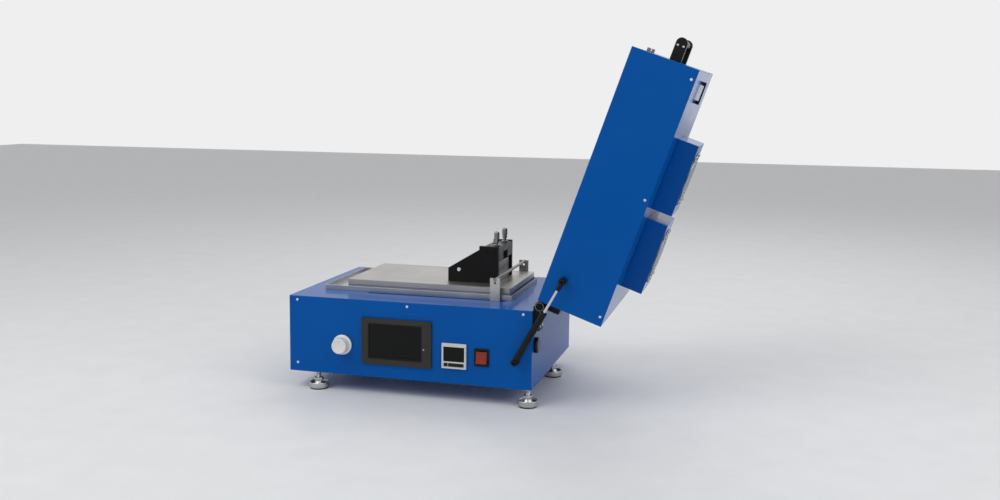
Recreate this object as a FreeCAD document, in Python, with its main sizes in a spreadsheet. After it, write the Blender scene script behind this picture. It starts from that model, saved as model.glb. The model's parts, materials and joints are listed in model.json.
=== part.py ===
"""Film coating machine: a vacuum bed with a pushed applicator under a heated, sprung lid.

The casing's front left lower corner is the working origin while the pieces are placed:
+X along the front, +Y to the rear, +Z up. The last step moves the whole machine so that
its origin is the middle of the footprint, at the height of the floor. The lid is drawn
closed, in the same axes, and turned about the hinge line to the open angle at rest.
"""
import FreeCAD, Part
import math
import os
import re
import Sketcher

DOC = FreeCAD.newDocument("film_coating_machine")
SHEET = DOC.addObject("Spreadsheet::Sheet", "Sizes")
NODES = []

# Driving dimensions, millimetres and degrees
SIZES = {
    # Casing
    "case_wide": 490, "case_deep": 350, "case_tall": 150, "sheet": 1.5, "seam": 0.3, "rest_gap": 0.05,
    "flange_tall": 15, "panel_screw_inset": 17, "panel_screw_drop": 7.5,
    "screw_head_radius": 2.7, "screw_head_tall": 1.6, "screw_shank_radius": 1.5,
    "screw_shank_long": 5,
    # Places on the front panel
    "dial_x": 112, "dial_z": 59.5, "dial_radius": 19.5, "dial_face_radius": 13.5,
    "dial_tall": 20, "dial_shaft_radius": 3, "pot_radius": 12, "pot_long": 16,
    "screen_frame_x": 152.7, "screen_frame_z": 26, "screen_frame_wide": 142.2,
    "screen_frame_tall": 90.5, "screen_frame_proud": 4.5,
    "screen_x": 170, "screen_z": 41, "screen_wide": 102.5, "screen_tall": 62.5,
    "screen_thick": 1.5, "screen_body_deep": 34, "screen_body_inset": 4,
    "timer_x": 340, "timer_z": 54.3, "timer_wide": 48, "timer_proud": 5,
    "timer_body_wide": 44.6, "timer_body_deep": 78, "timer_window_wide": 41,
    "timer_window_tall": 28, "timer_window_up": 3.5, "timer_window_thick": 1.2,
    "timer_key_tall": 6, "timer_key_down": 16.8, "timer_key_travel": 0.8,
    "timer_small_key_wide": 7, "timer_wide_key_wide": 30, "timer_key_left": 19.5,
    "timer_key_space": 1.8, "timer_key_long": 4,
    "switch_x": 393.7, "switch_z": 55.2, "switch_wide": 28.5, "switch_tall": 33.5,
    "switch_proud": 2.5, "switch_border": 3.6, "switch_body_deep": 24,
    "rocker_proud": 4, "rocker_radius": 2.2, "rocker_side_gap": 0.4, "rocker_end_gap": 1.8,
    "rocker_deep": 8, "axle_radius": 1, "axle_in": 0.5, "axle_seat": 0.9,
    "port_y": 28, "port_z": 80, "port_radius": 15, "port_proud": 7, "port_neck_radius": 10,
    # Rear panel
    "inlet_x": 90, "inlet_z": 50, "inlet_wide": 48, "inlet_tall": 28, "inlet_proud": 2.5,
    "inlet_deep": 22, "inlet_well_wide": 24, "inlet_well_tall": 16, "inlet_floor": 4,
    "spigot_in": 7.5, "spigot_over_strut": 7.25, "spigot_flange_radius": 7, "spigot_barb_radius": 4,
    "spigot_bore_radius": 2.4, "spigot_long": 24, "spigot_inside": 8, "spigot_lead": 2,
    "spigot_flange_thick": 5, "vent_count": 9, "vent_pitch": 12, "vent_slot": 4,
    "vent_tall": 46, "vent_x": 180, "vent_z": 60,
    # Feet
    "foot_left_x": 55, "foot_right_in": 10, "foot_front_y": 14, "foot_rear_y": 235,
    "foot_tall": 35, "foot_radius": 19, "foot_pad_thick": 2, "foot_cup_tall": 11,
    "foot_cup_wall": 2.5, "foot_cup_sink": 4, "foot_neck_radius": 6, "foot_neck_tall": 4,
    "foot_stud_radius": 5, "foot_stud_rise": 14, "foot_nut_across": 17, "foot_nut_tall": 6,
    "foot_nut_up": 16, "foot_nut_wall": 3, "foot_washer": 2.5,
    # Bed and tray
    "bed_x": 86, "bed_y": 86, "bed_end_gap": 64, "bed_wide": 200, "bed_plate_thick": 10,
    "bed_rise": 22.5, "bed_corner": 4, "tray_x": 40, "tray_end_gap": 4, "tray_side_gap": 6,
    "tray_tall": 9.5, "tray_sheet": 1.2, "hole_pitch": 40, "hole_radius": 0.75,
    "channel_wide": 6, "channel_deep": 5,
    # Carriage and its drive
    "slot_from_bed": 15, "slot_wide": 8, "slot_left": 137, "slot_right_in": 70,
    "push_in": 91, "post_wide": 19.6, "post_thick": 4.6, "post_rise": 44, "post_notch": 6.4,
    "post_notch_deep": 8, "post_hole_radius": 2.4, "post_hole_drop": 9.2,
    "push_rod_radius": 3, "push_rod_over": 5, "push_rod_up": 18.5,
    "carriage_bar_tall": 12, "carriage_bar_drop": 24, "block_long": 40, "block_wide": 150,
    "block_tall": 24, "guide_radius": 6, "guide_offset": 55, "guide_drop": 36,
    "bushing_wall": 3, "screw_radius": 5, "running_gap": 0.1, "mount_left": 106,
    "mount_right_in": 50, "mount_thick": 7, "mount_deep": 182, "mount_over": 14,
    "motor_wide": 42, "motor_long": 46,
    # Boxes on the floor of the casing
    "supply_from_mount": 20, "supply_y": 212, "supply_wide": 158, "supply_deep": 98, "supply_tall": 42,
    "board_x": 150, "board_y": 96, "board_wide": 100, "board_deep": 70, "board_thick": 1.6,
    "board_rise": 8, "board_pillar_in": 6, "board_pillar_radius": 3, "chip_in": 14,
    "chip_pitch": 26, "chip_wide": 18, "chip_deep": 18, "chip_grow": 8, "chip_tall": 14,
    "chip_step": 4,
    # Applicator
    "app_wide": 113, "app_long": 103.6, "app_plate": 8, "app_low": 26.5,
    "app_knee_back_x": 64.4, "app_knee_up": 65.7, "app_top": 72.9, "app_lift": 0.1,
    "app_push_gap": 7.5, "beam_long": 33, "beam_tall": 27, "beam_drop": 2,
    "beam_notch_wide": 34, "beam_notch_tall": 15, "blade_thick": 10, "blade_up": 0.5,
    "blade_tall": 39.5, "blade_bevel": 7, "blade_set_in": 4, "blade_side_gap": 0.4,
    "tie_x": 22.7, "tie_z": 24.3, "tie_radius": 3, "tie_head_radius": 3.8,
    "tie_head_tall": 1.5, "gauge_back": 10.2, "gauge_space": 62, "gauge_radius": 5.4,
    "gauge_tall": 21.6, "gauge_bore": 3.4, "sleeve_radius": 3.2, "sleeve_tall": 12,
    "sleeve_foot": 7, "sleeve_foot_tall": 3, "spindle_radius": 1.6, "gauge_up": 8.6,
    # Hinge line and lid
    "hinge_out": 11.7, "hinge_up": 7.5, "lid_open": 109.4, "lid_deep": 125, "lid_gap": 1,
    "barrel_radius": 9.5, "leaf_wide": 28, "leaf_thick": 12, "leaf_inset": 7,
    "base_leaf_down": 46, "lid_leaf_up": 37, "knuckle": 9, "hinge_pin_radius": 3,
    "hinge_pin_gap": 0.06, "knuckle_gap": 0.3,
    # Fan boxes on the lid
    "fan_box_wide": 140, "fan_box_deep": 130, "fan_box_tall": 40, "fan_box_sheet": 1.5,
    "fan_low_from": 60, "fan_high_from": 219, "fan_wide": 119, "fan_deep": 25,
    "fan_bore": 55, "fan_hub": 20, "fan_blade_gap": 1.5, "fan_blades": 7,
    "fan_blade_thick": 1.6, "guard_wire": 1.1, "guard_rings": 5,
    "guard_radius": 54, "guard_centre": 12, "guard_arm_over": 10, "guard_eye_radius": 4,
    "heater_y": 56, "heater_radius": 5, "heater_in": 34, "heater_drop": 14,
    # Handle, pull and catch on the lid
    "handle_mid_y": 175, "handle_span": 114, "handle_low": 56, "handle_wide": 22,
    "handle_out": 45, "cheek_thick": 12, "grip_radius": 8,
    "lid_screw_far": 20, "pull_in": 19, "pull_long": 44, "pull_wide": 7,
    "pull_tall": 7.5, "pull_bar": 3, "keeper_wide": 14, "keeper_out": 7, "keeper_low": 4,
    "keeper_tall": 14, "keeper_slot": 3, "keeper_slot_up": 6,
    # Gas struts
    "strut_low_in": 40.7, "strut_low_down": 102.75, "strut_high_in": 65.96,
    "strut_high_up": 26.33, "strut_off": 14, "tube_radius": 6.3, "tube_bore": 4.9,
    "tube_long": 110.5, "strut_rod_radius": 2.5, "strut_rod_long": 116, "rod_end_long": 19.5,
    "rod_end_radius": 4.4, "rod_end_taper": 4, "stud_radius": 3, "stud_head_radius": 5.2, "stud_head": 3.4,
    "stud_eye": 9, "eye_radius": 7, "stud_gap": 0.08, "stud_seat": 6,
}


def fill_sheet():
    """Write every driving dimension into its own named cell."""
    for row, (name, value) in enumerate(SIZES.items(), start=1):
        SHEET.set("A%d" % row, name)
        SHEET.set("B%d" % row, str(value))
        SHEET.setAlias("B%d" % row, name)
    for offset, name in enumerate(("shift_x", "shift_y", "shift_z"), start=len(SIZES) + 1):
        SHEET.set("A%d" % offset, name)
        SHEET.set("B%d" % offset, "0")
        SHEET.setAlias("B%d" % offset, name)
    DOC.recompute()


def cell(text):
    """The text of an expression, each alias in it read from the sheet."""
    return re.sub(r"\b(?!sin\b|cos\b|tan\b|atan2\b|hypot\b|sqrt\b)([a-z][a-z_]+)\b", r"Sizes.\1", str(text))


def bind(thing, **properties):
    """Tie properties to expressions; x, y and z are the place."""
    names = {"x": "Placement.Base.x", "y": "Placement.Base.y", "z": "Placement.Base.z"}
    for name, text in properties.items():
        thing.setExpression(names.get(name, name), cell(text))
    return thing


TURNS = {
    "x": FreeCAD.Rotation(FreeCAD.Vector(0, 1, 0), 90),
    "y": FreeCAD.Rotation(FreeCAD.Vector(1, 0, 0), -90),
    "z": FreeCAD.Rotation(),
}


def block(x, y, z, wide, deep, tall):
    """A box from its lower front left corner."""
    return bind(DOC.addObject("Part::Box", "block"), x=x, y=y, z=z, Length=wide, Width=deep, Height=tall)


def rod(x, y, z, radius, long, along="z"):
    """A cylinder from the middle of its first end."""
    made = DOC.addObject("Part::Cylinder", "rod")
    made.Placement.Rotation = TURNS[along]
    return bind(made, x=x, y=y, z=z, Radius=radius, Height=long)


def cone(x, y, z, first, second, long, along="z"):
    """A cone frustum from the middle of its first end."""
    made = DOC.addObject("Part::Cone", "cone")
    made.Placement.Rotation = TURNS[along]
    return bind(made, x=x, y=y, z=z, Radius1=first, Radius2=second, Height=long)


def join(*pieces):
    """One solid from pieces that touch or overlap."""
    made = DOC.addObject("Part::MultiFuse", "join")
    made.Shapes = list(pieces)
    made.Refine = True
    return made


def group(*pieces):
    """Pieces kept apart, handled as one."""
    made = DOC.addObject("Part::Compound", "group")
    made.Links = list(pieces)
    return made


def cut(base, *tools):
    """The base with every tool taken out of it."""
    made = DOC.addObject("Part::Cut", "cut")
    made.Base = base
    made.Tool = tools[0] if len(tools) == 1 else group(*tools)
    return made


def sketch(body, role, outline):
    """A closed outline of straight lines on one of the body's origin planes."""
    drawn = body.newObject("Sketcher::SketchObject", "outline")
    plane = [item for item in body.Origin.OriginFeatures if item.Role == role][0]
    drawn.AttachmentSupport = (plane, [""])
    drawn.MapMode = "FlatFace"
    guess = [tuple(float(value_of(part)) for part in point) for point in outline]
    count = len(outline)
    for index in range(count):
        start, end = guess[index], guess[(index + 1) % count]
        drawn.addGeometry(Part.LineSegment(FreeCAD.Vector(*start, 0), FreeCAD.Vector(*end, 0)))
    for index in range(count):
        drawn.addConstraint(Sketcher.Constraint("Coincident", index, 2, (index + 1) % count, 1))
    for index, point in enumerate(outline):
        for kind, text, number in zip(("DistanceX", "DistanceY"), point, guess[index]):
            place = drawn.addConstraint(Sketcher.Constraint(kind, -1, 1, index, 1, number))
            drawn.setExpression("Constraints[%d]" % place, cell(text))
    return drawn


def value_of(text):
    """The number that an expression has now."""
    return SHEET.evalExpression(re.sub(r"Sizes\.", "", cell(text)))


def padded(role, outline, thick, **place):
    """A flat piece: an outline on an origin plane, padded to its thickness."""
    body = DOC.addObject("PartDesign::Body", "flat")
    pad = body.newObject("PartDesign::Pad", "thickness")
    pad.Profile = sketch(body, role, outline)
    bind(pad, Length=thick)
    body.Tip = pad
    return bind(body, **place)


def turned(outline, along="z", **place):
    """A turned piece: an outline of (radius, height) points swept about its axis."""
    body = DOC.addObject("PartDesign::Body", "turned")
    spun = body.newObject("PartDesign::Revolution", "turning")
    spun.Profile = sketch(body, "XZ_Plane", outline)
    spun.ReferenceAxis = (spun.Profile[0], ["V_Axis"])
    spun.Angle = 360
    body.Tip = spun
    body.Placement.Rotation = TURNS[along]
    return bind(body, **place)


def node(label, *pieces, frame="case"):
    """Name a sub-part and give it its place: with the casing, the lid or a strut."""
    made = DOC.addObject("Part::Compound", label)
    made.Label = label
    made.Links = list(pieces)
    if frame == "case":
        bind(made, x="shift_x", y="shift_y", z="shift_z")
    else:
        made.Placement.Rotation = FreeCAD.Rotation(FreeCAD.Vector(0, 1, 0), 30)
        FRAMES[frame](made)
    NODES.append(made)
    return made


def on_lid(made):
    """Turn a piece drawn on the closed lid about the hinge line."""
    pivot_x = "(case_wide + hinge_out)"
    pivot_z = "(case_tall + hinge_up)"
    bind(made, x="shift_x + %s - %s * cos(lid_open) - %s * sin(lid_open)" % (pivot_x, pivot_x, pivot_z),
         y="shift_y", z="shift_z + %s + %s * sin(lid_open) - %s * cos(lid_open)" % (pivot_z, pivot_x, pivot_z))
    made.setExpression("Placement.Rotation.Angle", cell("lid_open"))


# Stud centres of the struts: on the casing, and on the lid at its open angle
LOW_X = "(case_wide + hinge_out - strut_low_in)"
LOW_Z = "(case_tall + hinge_up - strut_low_down)"
HIGH_X = "(case_wide + hinge_out - strut_high_in * cos(lid_open) + strut_high_up * sin(lid_open))"
HIGH_Z = "(case_tall + hinge_up + strut_high_in * sin(lid_open) + strut_high_up * cos(lid_open))"


def on_strut(made):
    """Lean a piece drawn upright over the lower stud towards the upper stud."""
    bind(made, x="shift_x + " + LOW_X, y="shift_y", z="shift_z + " + LOW_Z)
    made.setExpression("Placement.Rotation.Angle",
                       cell("atan2(%s - %s; %s - %s)" % (HIGH_X, LOW_X, HIGH_Z, LOW_Z)))


FRAMES = {"lid": on_lid, "strut": on_strut}


def screw(x, y, z, along="-y"):
    """A pan head screw: the head proud of the face at the given place, the shank behind it."""
    if along == "-y":
        return join(rod(x, "%s - screw_head_tall" % y, z, "screw_head_radius", "screw_head_tall", "y"),
                    rod(x, y, z, "screw_shank_radius", "screw_shank_long", "y"))
    return join(rod(x, y, z, "screw_head_radius", "screw_head_tall", "y"),
                rod(x, "%s - screw_shank_long" % y, z, "screw_shank_radius", "screw_shank_long", "y"))


def screw_hole(x, y, z, long="flange_tall"):
    """The clearance for a screw's shank, both ways from a face."""
    return rod(x, "%s - %s" % (y, long), z, "screw_shank_radius + seam", "2 * %s" % long, "y")


PANEL_SCREWS_X = ("panel_screw_inset", "case_wide / 2", "case_wide - panel_screw_inset")
FEET = [(x, y) for x in ("foot_left_x", "(case_wide - foot_right_in)") for y in ("foot_front_y", "foot_rear_y")]
BED_LONG = "(case_wide - bed_x - bed_end_gap)"
BED_MID_Y = "(bed_y + bed_wide / 2)"
BED_TOP = "(case_tall + bed_rise)"
SLOT_OUT = "(bed_wide / 2 + slot_from_bed)"
PUSH_X = "(case_wide - push_in)"
SPIGOT_X = "(case_wide - spigot_in)"
SPIGOT_Z = "(%s + spigot_over_strut)" % LOW_Z
MOUNT_RIGHT = "(case_wide - mount_right_in)"
SUPPLY_X = "(%s - supply_from_mount - supply_wide)" % MOUNT_RIGHT
SLOT_SIDES = ("-", "+")


def make_casing():
    """The folded shell, its rear panel and the deck that closes it."""
    inner = "(case_wide - 2 * sheet)"
    outer = block("0", "0", "0", "case_wide", "case_deep", "case_tall")
    hollow = block("sheet", "sheet", "sheet", inner, "case_deep", "case_tall")
    openings = [
        block("screen_frame_x + screen_body_inset", "-1", "screen_frame_z + screen_body_inset",
              "screen_frame_wide - 2 * screen_body_inset", "sheet + 2",
              "screen_frame_tall - 2 * screen_body_inset"),
        block("timer_x - timer_body_wide / 2 - seam", "-1", "timer_z - timer_body_wide / 2 - seam",
              "timer_body_wide + 2 * seam", "sheet + 2", "timer_body_wide + 2 * seam"),
        block("switch_x - switch_wide / 2 + switch_border / 2", "-1",
              "switch_z - switch_tall / 2 + switch_border / 2",
              "switch_wide - switch_border", "sheet + 2", "switch_tall - switch_border"),
        rod("dial_x", "-1", "dial_z", "dial_shaft_radius + 4", "sheet + 2", "y"),
        rod("case_wide - sheet - 1", "port_y", "port_z", "port_neck_radius + seam", "sheet + 2", "x"),
        rod("panel_screw_inset", "-1", "panel_screw_inset", "screw_shank_radius + seam", "sheet + 2", "y"),
    ]
    openings += [rod(x, "-1", "case_tall - panel_screw_drop", "screw_shank_radius + seam", "sheet + 2", "y")
                 for x in PANEL_SCREWS_X]
    openings += [rod(x, y, "-1", "foot_stud_radius + seam", "sheet + 2") for x, y in FEET]
    node("chassis_shell", cut(outer, hollow, *openings))

    plate = block("sheet + seam", "case_deep - sheet", "sheet + rest_gap", inner + " - 2 * seam", "sheet",
                  "case_tall - sheet - rest_gap - seam")
    vents = [block("vent_x + %d * vent_pitch" % index, "case_deep - sheet - 1", "vent_z", "vent_slot",
                   "sheet + 2", "vent_tall") for index in range(SIZES["vent_count"])]
    holes = [
        block("inlet_x - inlet_wide / 2 + 3", "case_deep - sheet - 1", "inlet_z - inlet_tall / 2 + 2",
              "inlet_wide - 6", "sheet + 2", "inlet_tall - 4"),
        rod(SPIGOT_X, "case_deep - sheet - 1", SPIGOT_Z, "spigot_barb_radius + seam", "sheet + 2", "y"),
    ]
    holes += [rod(x, "case_deep - sheet - 1", "case_tall - panel_screw_drop", "screw_shank_radius + seam",
                  "sheet + 2", "y") for x in PANEL_SCREWS_X]
    node("rear_panel", cut(plate, *vents, *holes))

    top = block("sheet + seam", "sheet + seam", "case_tall - sheet", inner + " - 2 * seam",
                "case_deep - 2 * sheet - 2 * seam", "sheet")
    skirt_front = block("sheet + seam", "sheet + seam", "case_tall - flange_tall",
                        inner + " - 2 * seam", "sheet", "flange_tall")
    skirt_rear = block("sheet + seam", "case_deep - 2 * sheet - seam", "case_tall - flange_tall",
                       inner + " - 2 * seam", "sheet", "flange_tall")
    slots = [block("slot_left", "%s %s %s - slot_wide / 2" % (BED_MID_Y, side, SLOT_OUT),
                   "case_tall - sheet - 1", "case_wide - slot_right_in - slot_left", "slot_wide", "sheet + 2")
             for side in SLOT_SIDES]
    holes = [screw_hole(x, y, "case_tall - panel_screw_drop") for x in PANEL_SCREWS_X
             for y in ("0", "case_deep")]
    node("top_deck", cut(join(top, skirt_front, skirt_rear), *slots, *holes))

    screws = [screw(x, "0", "case_tall - panel_screw_drop") for x in PANEL_SCREWS_X]
    screws += [screw(x, "case_deep", "case_tall - panel_screw_drop", "+y") for x in PANEL_SCREWS_X]
    screws.append(screw("panel_screw_inset", "0", "panel_screw_inset"))
    node("case_screws", *screws)


def make_panel_items():
    """What the front, the right side and the rear carry."""
    frame = block("screen_frame_x", "-screen_frame_proud", "screen_frame_z", "screen_frame_wide",
                  "screen_frame_proud", "screen_frame_tall")
    body = block("screen_frame_x + screen_body_inset + seam", "-0.5",
                 "screen_frame_z + screen_body_inset + seam",
                 "screen_frame_wide - 2 * screen_body_inset - 2 * seam", "screen_body_deep + 0.5",
                 "screen_frame_tall - 2 * screen_body_inset - 2 * seam")
    recess = block("screen_x", "-screen_frame_proud - 1", "screen_z", "screen_wide",
                   "screen_thick + 1.6", "screen_tall")
    node("panel_body", cut(join(frame, body), recess))
    node("panel_screen", block("screen_x + seam", "-screen_frame_proud + 0.6 - seam / 2", "screen_z + seam",
                               "screen_wide - 2 * seam", "screen_thick", "screen_tall - 2 * seam"))

    left = "(timer_x - timer_wide / 2)"
    low = "(timer_z - timer_wide / 2)"
    window_low = "(timer_z + timer_window_up - timer_window_tall / 2)"
    key_z = "(timer_z - timer_key_down)"
    keys = {"timer_set_button": ("timer_x - timer_key_left", "timer_small_key_wide"),
            "timer_mode_button": ("timer_x - timer_key_left + timer_small_key_wide + timer_key_space",
                                  "timer_wide_key_wide")}
    bezel = block(left, "-timer_proud", low, "timer_wide", "timer_proud", "timer_wide")
    body = block("timer_x - timer_body_wide / 2", "-0.5", "timer_z - timer_body_wide / 2",
                 "timer_body_wide", "timer_body_deep + 0.5", "timer_body_wide")
    cuts = [block("timer_x - timer_window_wide / 2", "-timer_proud - 1", window_low, "timer_window_wide",
                  "timer_window_thick + 1.3", "timer_window_tall")]
    cuts += [block("%s - 0.2" % x, "-timer_proud - 1", "%s - timer_key_tall / 2 - 0.2" % key_z,
                   "%s + 0.4" % wide, "timer_key_long + timer_key_travel + 0.3", "timer_key_tall + 0.4")
             for x, wide in keys.values()]
    node("timer_body", cut(join(bezel, body), *cuts))
    node("timer_window", block("timer_x - timer_window_wide / 2 + 0.2", "-timer_proud + 0.1",
                               window_low + " + 0.2", "timer_window_wide - 0.4", "timer_window_thick",
                               "timer_window_tall - 0.4"))
    for label, (x, wide) in keys.items():
        node(label, block(x, "-timer_proud - 1", "%s - timer_key_tall / 2" % key_z, wide,
                          "timer_key_long", "timer_key_tall"))

    bezel = block("switch_x - switch_wide / 2", "-switch_proud", "switch_z - switch_tall / 2",
                  "switch_wide", "switch_proud", "switch_tall")
    body = block("switch_x - switch_wide / 2 + switch_border / 2 + seam", "-0.5",
                 "switch_z - switch_tall / 2 + switch_border / 2 + seam",
                 "switch_wide - switch_border - 2 * seam", "switch_body_deep + 0.5",
                 "switch_tall - switch_border - 2 * seam")
    well = block("switch_x - switch_wide / 2 + switch_border", "-switch_proud - 1",
                 "switch_z - switch_tall / 2 + switch_border", "switch_wide - 2 * switch_border",
                 "switch_proud + rocker_deep + 5", "switch_tall - 2 * switch_border")
    well_x = "(switch_x - switch_wide / 2 + switch_border)"
    well_wide = "(switch_wide - 2 * switch_border)"
    seat = rod(well_x + " - axle_seat - running_gap", "-axle_in", "switch_z", "axle_radius + running_gap / 2",
               well_wide + " + 2 * axle_seat + 2 * running_gap", "x")
    node("rocker_housing", cut(join(bezel, body), well, seat))
    face_half = "(switch_tall / 2 - switch_border - rocker_end_gap)"
    rocker = padded("YZ_Plane", (
        ("-switch_proud - rocker_proud", "-" + face_half), ("-switch_proud - rocker_proud / 4", "0"),
        ("-switch_proud - seam", face_half), ("axle_in", face_half + " - axle_radius"),
        ("rocker_deep", "rocker_radius"), ("rocker_deep", "-rocker_radius"),
        ("axle_in", "-" + face_half + " + axle_radius"),
    ), well_wide + " - 2 * rocker_side_gap", x=well_x + " + rocker_side_gap", z="switch_z")
    axle = rod(well_x + " - axle_seat", "-axle_in", "switch_z", "axle_radius",
               well_wide + " + 2 * axle_seat", "x")
    node("power_rocker", join(rocker, axle))

    knob = turned((("dial_shaft_radius", "0"), ("dial_radius", "0"), ("dial_radius", "2"),
                   ("dial_face_radius + 1.5", "dial_tall - 3"), ("dial_face_radius", "dial_tall"),
                   ("0", "dial_tall"), ("0", "-pot_long / 2 - sheet"),
                   ("dial_shaft_radius", "-pot_long / 2 - sheet")),
                  x="dial_x", y="-0.4", z="dial_z")
    knob.Placement.Rotation = FreeCAD.Rotation(FreeCAD.Vector(1, 0, 0), 90)
    bind(knob, x="dial_x", y="-0.4", z="dial_z")
    node("speed_dial", knob)
    pot = join(rod("dial_x", "sheet + 0.2", "dial_z", "pot_radius", "pot_long", "y"),
               rod("dial_x", "0", "dial_z", "dial_shaft_radius + 3.6", "sheet + 1", "y"))
    node("speed_pot", cut(pot, rod("dial_x", "-1", "dial_z", "dial_shaft_radius + running_gap",
                                   "pot_long / 2 + sheet + 3", "y")))

    port = turned((("0", "-6"), ("port_neck_radius", "-6"), ("port_neck_radius", "0.3"),
                   ("port_radius", "0.3"), ("port_radius", "port_proud - 2"),
                   ("port_radius - 2.5", "port_proud"), ("0", "port_proud")), "x",
                  x="case_wide", y="port_y", z="port_z")
    node("side_port", port)

    flange = block("inlet_x - inlet_wide / 2", "case_deep + rest_gap", "inlet_z - inlet_tall / 2", "inlet_wide",
                   "inlet_proud", "inlet_tall")
    body = block("inlet_x - inlet_wide / 2 + 3.3", "case_deep - inlet_deep", "inlet_z - inlet_tall / 2 + 2.3",
                 "inlet_wide - 6.6", "inlet_deep + 1", "inlet_tall - 4.6")
    well = block("inlet_x - inlet_well_wide / 2", "case_deep - inlet_deep + inlet_floor",
                 "inlet_z - inlet_well_tall / 2", "inlet_well_wide", "inlet_deep", "inlet_well_tall")
    node("mains_inlet", cut(join(flange, body), well))
    tip = "case_deep + spigot_long - spigot_lead"
    spigot = join(rod(SPIGOT_X, "case_deep - spigot_inside", SPIGOT_Z, "spigot_barb_radius",
                      "spigot_inside + spigot_long - spigot_lead", "y"),
                  rod(SPIGOT_X, "case_deep + rest_gap", SPIGOT_Z, "spigot_flange_radius",
                      "spigot_flange_thick", "y"),
                  cone(SPIGOT_X, tip, SPIGOT_Z, "spigot_barb_radius", "spigot_barb_radius - spigot_lead / 2",
                       "spigot_lead", "y"))
    node("vacuum_spigot", cut(spigot, rod(SPIGOT_X, "case_deep - spigot_inside + spigot_lead", SPIGOT_Z,
                                          "spigot_bore_radius", "spigot_inside + spigot_long", "y")))


def make_feet():
    """Four levelling feet: rubber pad, dished steel cup on a stud, and lock nut."""
    pads = []
    steel = []
    base = "-foot_tall"
    for x, y in FEET:
        pads.append(rod(x, y, base, "foot_radius - 1.5", "foot_pad_thick"))
        cup_low = base + " + foot_pad_thick"
        cup = cut(rod(x, y, cup_low, "foot_radius", "foot_cup_tall"),
                  rod(x, y, cup_low + " + foot_cup_tall - foot_cup_sink", "foot_radius - foot_cup_wall",
                      "foot_cup_tall"))
        neck = cone(x, y, cup_low + " + foot_cup_tall - foot_cup_sink - 1", "foot_neck_radius + 3",
                    "foot_neck_radius", "foot_cup_sink + foot_neck_tall + 1")
        stud = rod(x, y, cup_low + " + 2", "foot_stud_radius",
                   "foot_tall - foot_pad_thick - 2 + foot_stud_rise")
        steel.append(join(cup, neck, stud))
        nut = DOC.addObject("Part::Prism", "nut")
        nut.Polygon = 6
        bind(nut, x=x, y=y, z="-foot_nut_up - foot_nut_tall / 2", Circumradius="foot_nut_across / sqrt(3)",
             Height="foot_nut_tall")
        steel.append(cut(nut, rod(x, y, "-foot_tall", "foot_stud_radius + rest_gap", "foot_tall")))
        collar = rod(x, y, "-foot_washer - seam", "foot_stud_radius + foot_nut_wall", "foot_washer")
        steel.append(cut(collar, rod(x, y, "-foot_tall", "foot_stud_radius + rest_gap", "foot_tall")))
        inner = rod(x, y, "sheet + rest_gap", "foot_stud_radius + foot_nut_wall", "foot_stud_rise - sheet - 3")
        steel.append(cut(inner, rod(x, y, "-foot_tall", "foot_stud_radius + rest_gap", "2 * foot_tall")))
    node("foot_pads", *pads)
    node("levelling_feet", *steel)


def make_bed():
    """Spill tray, insulating block and the vacuum plate."""
    tray_y = "(bed_y - tray_side_gap)"
    tray_long = "(bed_x + %s + tray_end_gap - tray_x)" % BED_LONG
    tray_wide = "(bed_wide + 2 * tray_side_gap)"
    outer = block("tray_x", tray_y, "case_tall + rest_gap", tray_long, tray_wide, "tray_tall")
    inner = block("tray_x + tray_sheet", tray_y + " + tray_sheet", "case_tall + rest_gap + tray_sheet",
                  tray_long + " - 2 * tray_sheet", tray_wide + " - 2 * tray_sheet", "tray_tall")
    node("bed_tray", cut(outer, inner))
    floor = "(case_tall + tray_sheet + 0.1)"
    thick = "(bed_rise - bed_plate_thick - tray_sheet - 0.1)"
    node("bed_block", block("bed_x + 1", "bed_y + 1", floor, BED_LONG + " - 2", "bed_wide - 2", thick))
    low = "(case_tall + bed_rise - bed_plate_thick)"
    plate = DOC.addObject("Part::Fillet", "plate")
    plate.Base = block("bed_x", "bed_y", low, BED_LONG, "bed_wide", "bed_plate_thick")
    DOC.recompute()
    corners = [index for index, edge in enumerate(plate.Base.Shape.Edges, start=1)
               if abs(edge.tangentAt(0).z) > 0.9]
    plate.Edges = [(index, SIZES["bed_corner"], SIZES["bed_corner"]) for index in corners]
    along = int(value_of(BED_LONG) / SIZES["hole_pitch"]) - 1
    across = int(SIZES["bed_wide"] / SIZES["hole_pitch"]) - 1
    holes = []
    for column in range(along):
        for row in range(across):
            holes.append(rod("bed_x + %s / 2 + (%d - %s) * hole_pitch" % (BED_LONG, column, (along - 1) / 2),
                             "%s + (%d - %s) * hole_pitch" % (BED_MID_Y, row, (across - 1) / 2),
                             low + " - 1", "hole_radius", "bed_plate_thick + 2"))
    channel = block("bed_x + %s / 2 - %s * hole_pitch" % (BED_LONG, along / 2),
                    BED_MID_Y + " - channel_wide / 2", low + " - 1", "%d * hole_pitch" % along,
                    "channel_wide", "channel_deep + 1")
    node("bed_plate", cut(cut(plate, channel), *holes))


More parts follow.
